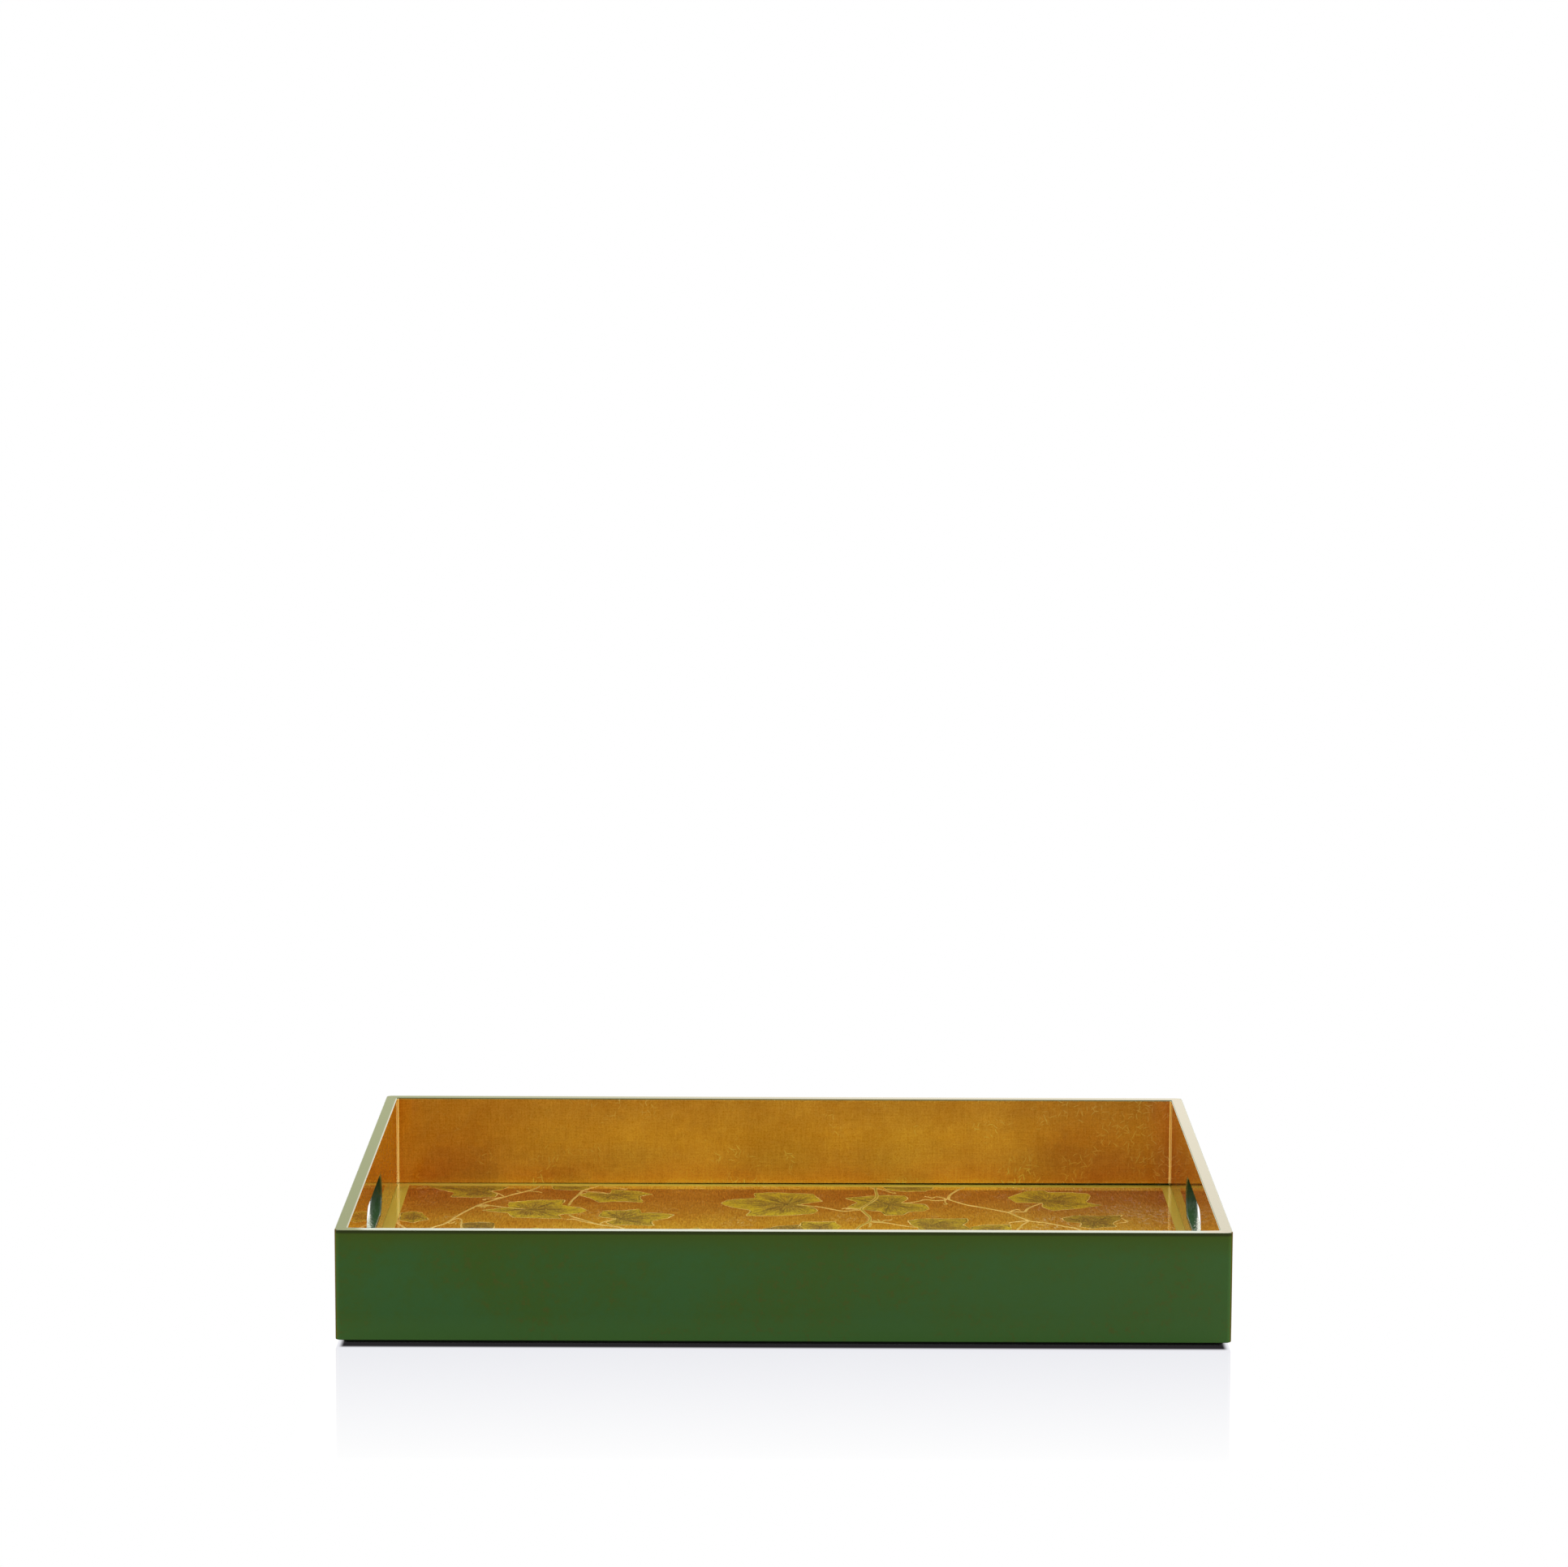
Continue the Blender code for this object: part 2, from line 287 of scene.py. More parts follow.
# Stems: width, share of olive in the middle of the line, points that the stem passes through
STEMS = (
    (1.8, 0.2, (-141, 152), (-143, 146), (-148, 139), (-155, 131), (-160, 124), (-166, 116), (-170, 110),
     (-173.5, 104), (-176, 98), (-180, 88), (-184.5, 75), (-187.5, 64), (-191, 56), (-196, 49),
     (-203, 28), (-196, 0), (-192, -48), (-180, -84), (-186, -120), (-178, -150)),
    (1.7, 0.3, (-107, 152), (-111.5, 147), (-115.5, 141), (-117, 134), (-119, 125), (-121, 115),
     (-122.3, 103.5)),
    (1.7, 0.3, (-121, 81), (-118.5, 76), (-114, 71), (-110, 66), (-105, 60), (-100, 56), (-96, 54),
     (-90, 50), (-84, 34), (-86, 0), (-70, -30), (-74, -64), (-58, -98), (-66, -130), (-56, -150)),
    (2.3, 1.0, (53, 152), (52.8, 146), (53, 140), (53.3, 130), (52.5, 123), (50, 115), (47, 107),
     (44.6, 101), (44, 96), (45, 91), (46.5, 85), (48.3, 78), (48.5, 72), (47.5, 66), (44.5, 60),
     (42, 54), (40.5, 48), (34, 24), (34, -8), (18, -36), (24, -70), (40, -100), (34, -130), (44, -150)),
    (1.8, 0.15, (104.5, 152), (101, 147), (98, 140), (95.5, 133), (94.3, 126), (94.7, 121), (98, 116),
     (104, 108.5), (110, 104), (117, 98.5), (124, 92.5), (127, 90), (131, 82), (135, 75), (139, 69),
     (146, 66), (151, 62), (157, 57), (164, 51), (171, 30), (168, 4), (182, -22), (174, -54),
     (186, -88), (176, -120), (184, -150)),
)

# Leaf stalks, buds and side shoots: width, then the points
STALKS = (
    (1.4, (-160, 123), (-161, 127), (-164, 133), (-169.5, 139)),
    (3.0, (-160, 124.5), (-163, 122), (-167, 119.5)),
    (1.5, (-147, 139), (-143, 138.5), (-140, 136.5), (-139, 134)),
    (1.7, (-174, 103), (-170, 104.5), (-165, 102), (-160, 99.5), (-153, 96.5), (-146, 94)),
    (3.0, (-175, 101), (-171, 101.5), (-167, 102)),
    (1.5, (-186.5, 67), (-183.5, 71), (-181, 69), (-180.3, 62), (-180, 55), (-178.5, 47)),
    (1.5, (-183, 61), (-183.5, 57)),
    (1.8, (-217, 62), (-214.5, 56), (-211.5, 49), (-206, 30), (-190, 26), (-170, 24), (-156, 26)),
    (1.3, (-115, 138.5), (-108, 137.5), (-104, 136), (-101, 132.5)),
    (1.5, (-104, 152), (-98, 150), (-94, 147), (-91.5, 145), (-90, 147.5)),
    (1.6, (-122, 70), (-117.5, 70.5), (-114, 66.5), (-109, 62), (-102, 57)),
    (1.5, (-102.5, 56), (-102, 62), (-98.5, 67), (-95, 70), (-94.3, 73.5)),
    (3.0, (-103, 58), (-100, 56), (-96, 54.5)),
    (1.2, (49.5, 152), (51.5, 148.5), (52.5, 145)),
    (1.5, (53, 149.5), (57, 145), (60, 141), (62, 138), (64.2, 136.8), (63.6, 139)),
    (3.0, (35, 97.5), (38, 98), (42, 96)),
    (1.8, (43.5, 95), (40, 94), (34, 91.8), (28, 96), (20, 102.3), (13, 105.2), (7.5, 107.5)),
    (1.4, (43, 97), (38, 99.5), (34, 99), (32.8, 97.5)),
    (1.8, (48.5, 64), (48.3, 58), (47.3, 53)),
    (3.2, (49, 68), (53, 67), (57, 65)),
    (2.0, (49, 66), (56, 64.5), (60, 62.5), (65, 58.5), (70, 55.5), (75, 53.5)),
    (1.4, (52.5, 66), (53.5, 69.5), (52.5, 73)),
    (1.4, (55, 67), (57, 71), (59.5, 70.5), (61, 73.5)),
    (3.0, (87, 119), (91, 119.5), (93.5, 122)),
    (2.0, (94, 124), (91.5, 120), (87, 118.5), (83, 120.5), (80, 120.5), (77, 117), (72, 113.5),
     (66.5, 112.5)),
    (1.6, (93, 122), (89.5, 127.5), (86.5, 127.5), (85, 125), (83, 127.5), (80.5, 129)),
    (1.2, (92.3, 121), (92, 115), (93, 111), (91.3, 109.5), (91, 112)),
    (1.6, (127, 90.5), (130, 95.5), (132.5, 97.5), (134, 95.5)),
    (1.8, (127, 91.5), (132, 92), (136.3, 92), (137.5, 97), (140, 103), (144, 109), (147, 114)),
    (2.6, (129, 67), (133, 69), (138, 70)),
    (1.6, (137.5, 69), (134, 62), (132, 55), (130, 48), (128, 30), (132, 14)),
    (1.6, (142, 62), (147, 60)),
    (1.3, (190, 77), (192, 72), (193, 69), (190.5, 67), (186, 64.5)),
    (1.2, (-84, 34), (-74, 38), (-68, 36), (-58, 34)),
    (1.2, (-86, 0), (-70, 4), (-54, -4), (-40, -4)),
    (1.2, (34, -8), (46, 0), (56, 2), (64, 6)),
    (1.0, (171, 30), (184, 32), (194, 26), (200, 20)),
    (1.2, (-192, -30), (-184, -38), (-174, -36), (-166, -36)),
    (1.1, (-70, -30), (-84, -22), (-96, -20), (-106, -22)),
    (1.2, (-72, -46), (-56, -56), (-44, -62), (-32, -62)),
    (1.2, (20, -40), (34, -40), (44, -46), (56, -48)),
    (1.2, (178, -38), (170, -34), (160, -38), (152, -42)),
    (1.2, (-180, -84), (-168, -90), (-160, -96), (-152, -98)),
    (1.1, (-74, -64), (-82, -74), (-90, -80), (-96, -82)),
    (1.2, (40, -100), (28, -108), (14, -116), (4, -118)),
    (1.2, (40, -100), (54, -104), (64, -110), (76, -112)),
    (1.2, (186, -88), (174, -90), (160, -94), (146, -96)),
    (1.1, (-66, -130), (-78, -130), (-88, -132), (-98, -134)),
    (1.1, (176, -120), (166, -128), (156, -136), (146, -140)),
    (1.0, (176, -120), (188, -118), (196, -120), (200, -122)),
)

# Tendrils: x, y where they leave the stem, heading in degrees, length, turns
TENDRILS = (
    (-166, 120, 190, 11, 1.0),
    (-173, 102, 290, 9, 1.1),
    (-184, 64, 250, 8, -0.8),
    (-150, 136, 150, 8, -0.7),
    (129, 67, 200, 6, 0.8),
    (-199, 20, 60, 12, 0.9),
    (-87, 10, 20, 14, -0.8),
    (33, -4, 160, 13, 0.8),
    (170, 12, 30, 13, 0.9),
    (-184, -70, 30, 14, -0.9),
    (-73, -60, 200, 13, 0.8),
    (26, -76, 160, 13, 0.9),
    (176, -50, 150, 13, -0.8),
    (-183, -112, 20, 13, 0.9),
    (-62, -112, 10, 14, -0.8),
    (36, -122, 190, 12, 0.8),
    (181, -104, 20, 12, 0.9),
)


# ---------------- node trees
class Graph:
    """Short calls that add and join nodes. An input is given as a socket or as a value."""

    def __init__(self, tree):
        self.tree = tree
        tree.nodes.clear()

    def feed(self, socket, value):
        if isinstance(value, bpy.types.NodeSocket):
            self.tree.links.new(value, socket)
        else:
            socket.default_value = value

    def add(self, kind, inputs=None, **settings):
        node = self.tree.nodes.new("ShaderNode" + kind)
        for name, value in settings.items():
            setattr(node, name, value)
        for key, value in (inputs or {}).items():
            self.feed(node.inputs[key], value)
        return node

    def math(self, operation, a, b=0.0):
        return self.add("Math", {0: a, 1: b}, operation=operation).outputs[0]

    def times(self, a, b):
        return self.math("MULTIPLY", a, b)

    def plus(self, a, b):
        return self.math("ADD", a, b)

    def minus(self, a, b):
        return self.math("SUBTRACT", a, b)

    def absolute(self, a):
        return self.math("ABSOLUTE", a)

    def larger(self, a, b):
        return self.math("MAXIMUM", a, b)

    def vector_math(self, operation, a, b):
        return self.add("VectorMath", {0: a, 1: b}, operation=operation).outputs

    def scale(self, vector, factors):
        return self.vector_math("MULTIPLY", vector, factors)[0]

    def split(self, vector):
        return self.add("SeparateXYZ", {0: vector}).outputs

    def remap(self, value, low, high, to_low=0.0, to_high=1.0, smooth=False):
        kind = "SMOOTHSTEP" if smooth else "LINEAR"
        inputs = {0: value, 1: low, 2: high, 3: to_low, 4: to_high}
        return self.add("MapRange", inputs, interpolation_type=kind).outputs[0]

    def mix(self, share, a, b, blend="MIX"):
        node = self.add("Mix", data_type="RGBA", blend_type=blend)
        for index, value in ((0, share), (6, a), (7, b)):
            self.feed(node.inputs[index], value)
        return node.outputs[2]

    def tint(self, share, color, factors):
        """The color multiplied by factors, as far as share says."""
        return self.mix(share, color, self.mix(1.0, color, factors, "MULTIPLY"))

    def mix_shaders(self, share, first, second):
        return self.add("MixShader", {0: share, 1: first, 2: second}).outputs[0]

    def noise(self, coords, size_mm, detail=3.0, roughness=0.5, distortion=0.0):
        """Noise whose blobs are about size_mm wide, on coordinates in millimetres."""
        inputs = {
            "Vector": coords,
            "Scale": 1 / size_mm,
            "Detail": detail,
            "Roughness": roughness,
            "Distortion": distortion,
        }
        return self.add("TexNoise", inputs).outputs[0]

    def bump(self, height, strength, distance_mm):
        inputs = {"Height": height, "Strength": strength, "Distance": distance_mm * MM}
        return self.add("Bump", inputs).outputs[0]

    def attribute(self, name):
        return self.add("Attribute", attribute_name=name).outputs["Fac"]

    def coords_mm(self):
        place = self.add("TexCoord").outputs["Object"]
        return self.scale(place, (1000, 1000, 1000))


def rgb(red, green, blue):
    return (red, green, blue, 1.0)


def new_material(name):
    material = bpy.data.materials.new(name)
    material.use_nodes = True
    return material, Graph(material.node_tree)


def principled(graph, inputs):
    shader = graph.add("BsdfPrincipled", inputs)
    graph.add("OutputMaterial", {"Surface": shader.outputs[0]})
    return shader


CLEAR_COAT = {"Coat Weight": 1.0, "Coat Roughness": 0.03, "Coat IOR": 1.5}
THIN_COAT = {"Coat Weight": 0.5, "Coat Roughness": 0.04, "Coat IOR": 1.5}
GOLDEN_EDGE = (1.0, 0.78, 0.40, 1.0)


def green_lacquer():
    """Green lacquer, olive towards the rim, with cloudy brown flecks and edges rubbed brown."""
    material, g = new_material("green_lacquer")
    coords = g.coords_mm()
    x, y, height = g.split(coords)
    clouds = g.noise(coords, 45, 3, 0.55)
    blotches = g.noise(coords, 5, 5, 0.75)
    specks = g.noise(coords, 1.2, 2)
    share = g.remap(g.plus(clouds, g.times(blotches, 0.6)), 0.65, 0.98)
    color = g.mix(share, rgb(0.054, 0.178, 0.038), rgb(0.067, 0.160, 0.013))
    color = g.mix(g.remap(x, -100, 230, 0, 0.6), color, rgb(0.082, 0.200, 0.045))
    # Painted light: the green is lighter near the foot, as if lit from the white table
    color = g.mix(g.remap(height, FOOT_MM + 14, FOOT_MM + 1), color, rgb(0.075, 0.205, 0.040))
    flecks = g.times(g.remap(clouds, 0.44, 0.58), g.remap(blotches, 0.53, 0.62, 0, 0.45))
    color = g.mix(flecks, color, rgb(0.130, 0.130, 0.020))
    color = g.mix(g.remap(height, RIM_MM - 13, RIM_MM - 2, 0, 0.85), color, rgb(0.082, 0.148, 0.006))
    color = g.mix(g.remap(height, RIM_MM - 2.2, RIM_MM - 1.2, 0, 0.9), color, rgb(0.030, 0.042, 0.001))
    rubbed = rubbed_corner(g, x, y)
    color = g.mix(g.times(rubbed, 0.75), color, rgb(0.20, 0.105, 0.014))
    peel = g.noise(coords, 5, 2)
    principled(g, {
        "Base Color": color,
        "Roughness": g.remap(specks, 0, 1, 0.32, 0.45),
        "Specular IOR Level": 0.0,
        "Normal": g.bump(specks, 0.15, 0.05),
        "Coat Normal": g.bump(peel, 0.12, 0.05),
        **{**CLEAR_COAT, "Coat Weight": g.minus(1.0, rubbed)},
    })
    return material


def rubbed_corner(g, x, y):
    """1 on a thin upright line by each end face, where the outer corners are rubbed."""
    corner_x, corner_y = OUTER_CORNER_MM
    beyond_x = g.minus(g.absolute(x), corner_x)
    beyond_y = g.minus(g.absolute(y), corner_y)
    thin = g.remap(beyond_x, 1.9, 2.5)
    return g.times(thin, g.remap(beyond_y, 0.0, 0.4))


def shaded_hole_lacquer():
    """The lacquer inside the hand holes, its colour darkened as painted shade, run into small waves."""
    material, g = new_material("shaded_hole_lacquer")
    coords = g.coords_mm()
    runs = g.noise(g.scale(coords, (1, 1, 0.5)), 4, 3, 0.5, 1.5)
    color = g.mix(runs, rgb(0.018, 0.050, 0.020), rgb(0.036, 0.080, 0.024))
    principled(g, {
        "Base Color": color,
        "Roughness": 0.35,
        "Specular IOR Level": 0.1,
        "Coat Normal": g.bump(runs, 0.7, 0.5),
        **CLEAR_COAT,
    })
    return material


def gold_leaf_color(g, coords, dark, light, glint, grain_tints):
    """Colour and grain of gold leaf laid in square sheets, with a faint weave, and painted glints on its
    specks and crinkles.
    """
    clouds = g.noise(coords, 55, 3, 0.5, 0.4)
    patches = g.noise(coords, 16, 5, 0.7, 0.8)
    drawn = g.scale(coords, (1.0, 0.16, 1.0))
    grain = g.noise(drawn, 0.9, 3, 0.7)
    threads = g.noise(g.scale(coords, (1.0, 0.08, 0.08)), 0.9, 2, 0.6)
    cross_threads = g.noise(g.scale(coords, (0.08, 1.0, 1.0)), 0.9, 2, 0.6)
    x, y, z = g.split(coords)
    flat = g.add("CombineXYZ", {
        0: g.plus(x, g.times(y, 0.4)),
        1: g.plus(z, g.times(y, 0.9)),
    }).outputs[0]
    sheets = g.add("TexBrick", {
        "Vector": flat,
        "Color1": rgb(0.42, 0.42, 0.42),
        "Color2": rgb(0.58, 0.58, 0.58),
        "Mortar": rgb(0.75, 0.75, 0.75),
        "Scale": 1.0,
        "Mortar Size": 0.35,
        "Mortar Smooth": 0.8,
        "Brick Width": LEAF_SHEET,
        "Row Height": LEAF_SHEET,
    }).outputs[0]
    large = g.plus(g.times(clouds, 0.6), g.times(patches, 0.4))
    large = g.plus(large, g.times(sheets, 0.12))
    weave = g.plus(g.times(threads, 0.25), g.times(cross_threads, 0.2))
    fine = g.plus(g.times(grain, 0.55), weave)
    color = g.mix(g.remap(large, 0.44, 0.68), dark, light)
    color = g.mix(1.0, color, g.mix(g.remap(fine, 0.38, 0.62), *grain_tints), "MULTIPLY")
    more = g.remap(x, 60, 190, 0.0, 0.05)
    specks = g.remap(g.plus(g.noise(drawn, 1.6, 2, 0.7), more), 0.66, 0.74, 0, 0.5)
    places = g.remap(g.plus(g.noise(coords, 24, 3, 0.6), g.times(more, 1.6)), 0.56, 0.66)
    crinkles = g.larger(crinkle(g, flat, 6.0, 0), crinkle(g, flat, 4.5, 31))
    crinkles = g.times(crinkles, places)
    # Painted highlights: specks and crinkles take the glint colour, as if catching the light
    color = g.mix(g.larger(specks, crinkles), color, glint)
    return color, fine


def crinkle(g, flat, apart_mm, offset_mm):
    """Short bent strokes in all directions, one about every apart_mm, a mask for painted highlights."""
    moved = g.vector_math("ADD", flat, (offset_mm, 0, 0))[0]
    cells = g.add("TexVoronoi", {"Vector": moved, "Scale": 1 / apart_mm}, voronoi_dimensions="2D")
    run = g.vector_math("SUBTRACT", moved, cells.outputs["Position"])[0]
    chance = g.split(cells.outputs["Color"])
    turn = g.times(chance[0], 2 * math.pi)
    turned = g.add("VectorRotate", {"Vector": run, "Angle": turn}, rotation_type="Z_AXIS").outputs[0]
    along, across, _ = g.split(turned)
    bend = g.times(g.times(along, along), g.remap(chance[1], 0, 1, 0.02, 0.12))
    off = g.absolute(g.minus(across, bend))
    line = g.remap(off, 0.16, 0.30, 1.0, 0.0)
    ends = g.remap(g.absolute(along), apart_mm * 0.25, apart_mm * 0.42, 1.0, 0.0)
    return g.times(line, ends)


def gold_leaf(name, colors, grain_tints, finish, tints):
    """Gold leaf under a clear coat. tints holds pairs of a mask's function and a colour."""
    material, g = new_material(name)
    roughness, wrinkled, metal, coat = finish
    coords = g.coords_mm()
    x, y, z = g.split(coords)
    color, fine = gold_leaf_color(g, coords, *colors, grain_tints)
    for mask, tint in tints:
        color = g.tint(mask(g, x, y, z), color, tint)
    # Painted highlight: a pale line down the middle of each inner corner's rounding
    beyond_x = g.minus(g.absolute(x), INNER_CORNER_MM[0])
    beyond_y = g.minus(g.absolute(y), INNER_CORNER_MM[1])
    corner = g.remap(g.math("MINIMUM", beyond_x, beyond_y), *CORNER_HIGHLIGHT)
    color = g.mix(g.times(corner, 0.95), color, rgb(1.0, 0.98, 0.42))
    wrinkles = g.noise(coords, 3.5, 5, 0.7, 1.2)
    relief = g.plus(g.times(wrinkles, 0.6), g.times(fine, 0.6))
    principled(g, {
        "Base Color": color,
        "Metallic": metal,
        "Specular IOR Level": 0.0,
        "Specular Tint": GOLDEN_EDGE,
        "Roughness": g.remap(fine, 0.35, 0.65, roughness + 0.05, roughness - 0.05),
        "Normal": g.bump(relief, wrinkled, 0.10),
        **coat,
    })
    return material


def dim_ends(g, x, y, z):
    """Painted shade: the walls' gold is darker towards both ends and on the end walls. It is also darker in
    two places.
    """
    off = g.absolute(g.minus(x, 15))
    towards_end = g.remap(off, 50, 220, 0.0, 0.45, smooth=True)
    end_wall = g.remap(g.absolute(x), INSIDE_X_MM - 3.5, INSIDE_X_MM - 1.5, 0.0, 0.45)
    total = g.plus(towards_end, end_wall)
    place = g.add("CombineXYZ", {0: x, 1: g.times(z, DARK_PLACE_FLATNESS)}).outputs[0]
    for dark_x, dark_z, reach, depth in DARK_PLACES:
        center = (dark_x, dark_z * DARK_PLACE_FLATNESS, 0)
        away = g.vector_math("DISTANCE", place, center)["Value"]
        total = g.plus(total, g.remap(away, reach, 0, 0.0, depth, smooth=True))
    return total


def wall_foot(g, x, y, z):
    """The walls' gold next to the floor, where painted light from the floor is put."""
    return g.remap(z, FLOOR_MM + 18, FLOOR_MM, smooth=True)


def wall_top(g, x, y, z):
    """The middle of the long walls' gold, next to the rim, where painted shade is put."""
    off = g.absolute(g.minus(x, 30))
    return g.times(g.remap(z, RIM_MM - 24, RIM_MM - 4, smooth=True), g.remap(off, 230, 140))


def left_end(g, x, y, z):
    """The gold of the left end wall, and of the long walls beside it, where painted light is put."""
    return g.remap(g.times(x, -1.0), *END_SHADE_MM)


def right_end(g, x, y, z):
    """The gold of the right end wall, and of the long walls beside it, where painted shade is put."""
    return g.remap(x, *END_SHADE_MM)


def dim_back(g, x, y, z):
    """Painted reflection: seen along the floor, its gold is darker and redder towards the back and the left
    end.
    """
    back = g.times(g.remap(y, 20, 120), g.remap(y, *BRIGHT_LINE_MM, 1.0, 0.0))
    left = g.times(g.remap(x, -130, -190), 0.5)
    facing = g.add("LayerWeight", {"Blend": 0.5}).outputs["Facing"]
    return g.times(g.larger(back, left), g.remap(facing, 0.5, 0.78, 0.15, 1.0))


def brown_right(g, x, y, z):
    """A brown, greyish stretch of the floor's gold at the right."""
    return g.times(g.remap(x, 110, 170), g.remap(y, 20, 90))


def bright_edge(g, x, y, z):
    """A painted highlight: a bright line on the floor's gold in front of the border along the back."""
    return g.times(g.remap(y, *BRIGHT_LINE_MM), g.remap(x, -200, 60, 0.2, 1.0))


def border_paint():
    material, g = new_material("border_paint")
    coords = g.coords_mm()
    streaks = g.noise(coords, 2.5, 4, 0.6)
    color = g.mix(streaks, rgb(0.39, 0.32, 0.028), rgb(0.54, 0.47, 0.057))
    y = g.split(coords)[1]
    color = g.tint(g.remap(y, *PALE_BORDER_MM), color, rgb(1.35, 1.25, 1.3))
    principled(g, {
        "Base Color": color,
        "Metallic": 0.2,
        "Roughness": g.remap(streaks, 0, 1, 0.35, 0.5),
        "Normal": g.bump(streaks, 0.2, 0.05),
        **THIN_COAT,
    })
    return material


def leaf_paint():
    """Olive paint brushed outwards from the stalk, yellow by the edge and brown in the middle."""
    material, g = new_material("leaf_paint")
    coords = g.coords_mm()
    depth = g.attribute("depth")
    vein = g.attribute("vein")
    brown = g.attribute("brown")
    spoke = g.add("Attribute", attribute_name="spoke").outputs["Vector"]
    outward = g.split(spoke)[2]
    dabs = g.noise(coords, 8, 4, 0.65, 0.8)
    grain = g.noise(g.scale(coords, (1.0, 0.25, 1.0)), 1.0, 3, 0.7)
    strokes = g.noise(g.scale(spoke, (9, 9, 2)), 1, 5, 0.7, 0.6)
    inward = g.minus(g.times(dabs, 2.2), outward)
    color = g.mix(g.remap(inward, 0.10, 0.85), rgb(0.64, 0.49, 0.018), rgb(0.345, 0.212, 0.029))
    autumn = g.mix(dabs, rgb(0.14, 0.066, 0.024), rgb(0.26, 0.15, 0.031))
    color = g.mix(g.times(brown, 0.85), color, autumn)
    inner = g.remap(depth, 0.8, 3.0)
    hatching = g.times(g.remap(strokes, 0.48, 0.56, 0, 0.85), g.remap(outward, 1.0, 0.5))
    color = g.mix(g.times(hatching, inner), color, rgb(0.130, 0.084, 0.016))
    color = g.mix(g.times(vein, 0.85), color, rgb(0.075, 0.048, 0.014))
    light_dabs = g.times(g.remap(strokes, 0.46, 0.36, 0, 0.5), inner)
    color = g.mix(light_dabs, color, rgb(0.66, 0.55, 0.022))
    beside = g.remap(g.absolute(g.minus(depth, 0.85)), 0.2, 0.55, 1.0, 0.0)
    beside = g.times(beside, g.remap(dabs, 0.45, 0.55, 0, 0.7))
    color = g.mix(beside, color, rgb(0.07, 0.05, 0.012))
    color = g.mix(g.remap(grain, 0.54, 0.66, 0, 0.5), color, rgb(0.70, 0.55, 0.08))
    color = g.mix(g.remap(grain, 0.46, 0.34, 0, 0.6), color, rgb(0.12, 0.08, 0.016))
    relief = g.plus(dabs, g.times(strokes, 0.6))
    principled(g, {
        "Base Color": color,
        "Metallic": 0.6,
        "Specular Tint": GOLDEN_EDGE,
        "Specular IOR Level": 0.2,
        "Roughness": g.remap(grain, 0, 1, 0.35, 0.55),
        "Normal": g.bump(relief, 0.2, 0.1),
        **THIN_COAT,
    })
    return material


def pale_gold_paint(name, light, deep):
    """Pale gold brush lines. A stem's middle is left olive."""
    material, g = new_material(name)
    coords = g.coords_mm()
    worn = g.noise(coords, 6, 4, 0.6)
    grain = g.noise(coords, 0.9, 3, 0.6)
    color = g.mix(g.remap(worn, 0.35, 0.65), light, deep)
    color = g.mix(g.attribute("core"), color, rgb(0.36, 0.30, 0.02))
    principled(g, {
        "Base Color": color,
        "Metallic": 0.6,
        "Specular Tint": GOLDEN_EDGE,
        "Specular IOR Level": 0.3,
        "Roughness": g.remap(grain, 0, 1, 0.3, 0.5),
        "Normal": g.bump(grain, 0.3, 0.06),
        **THIN_COAT,
    })
    return material


def felt_cloth():
    material, g = new_material("dark_felt")
    coords = g.coords_mm()
    fibres = g.noise(coords, 0.35, 6, 0.75, 3.0)
    tufts = g.noise(coords, 2.5, 4, 0.6)
    color = g.mix(fibres, rgb(0.004, 0.005, 0.005), rgb(0.030, 0.034, 0.030))
    color = g.mix(g.remap(tufts, 0.4, 0.7, 0, 0.5), color, rgb(0.014, 0.018, 0.015))
    principled(g, {
        "Base Color": color,
        "Roughness": 0.95,
        "Sheen Weight": 0.3,
        "Sheen Roughness": 0.5,
        "Normal": g.bump(fibres, 0.8, 0.25),
    })
    return material


def pin_steel():
    material, g = new_material("bright_steel")
    drawn = g.noise(g.scale(g.coords_mm(), (1, 1, 6)), 1.5, 3)
    principled(g, {
        "Base Color": g.mix(drawn, rgb(0.42, 0.42, 0.43), rgb(0.62, 0.62, 0.63)),
        "Metallic": 1.0,
        "Roughness": g.remap(drawn, 0, 1, 0.25, 0.45),
        "Normal": g.bump(drawn, 0.1, 0.02),
    })
    return material


# ---------------- shapes
def add_object(name, data):
    thing = bpy.data.objects.new(name, data)
    bpy.context.scene.collection.objects.link(thing)
    return thing


def add_piece(name, mesh, materials, replaced=()):
    """A piece that rides on the tray, stands for CAD nodes and takes a material slot."""
    piece = add_object(name, mesh)
    for material in materials:
        mesh.materials.append(material)
    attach(piece, "root")
    if replaced:
        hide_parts(*replaced)
    return piece


def mesh_from(name, bm):
    bmesh.ops.recalc_face_normals(bm, faces=bm.faces)
    mesh = bpy.data.meshes.new(name)
    bm.to_mesh(mesh)
    bm.free()
    return mesh


def bridge(bm, near, far, closed=True):
    """Quads between two rows of vertices, in a ring unless closed is false. Returns them."""
    count = len(near)
    faces = []
    for index in range(count if closed else count - 1):
        after = (index + 1) % count
        faces.append(bm.faces.new((near[index], near[after], far[after], far[index])))
    return faces


def shade(piece):
    """Smooth shading that leaves flat faces flat."""
    piece.data.shade_smooth()
    piece.data.set_sharp_from_angle(angle=SHARP_ANGLE)
    weighted = piece.modifiers.new("flat_faces", "WEIGHTED_NORMAL")
    weighted.keep_sharp = True


def arc(center, radius, start, end, segments):
    """Points of an arc in a plane, angles in degrees."""
    points = []
    for step in range(segments + 1):
        angle = math.radians(start + (end - start) * step / segments)
        points.append((center[0] + radius * math.cos(angle), center[1] + radius * math.sin(angle)))
    return points


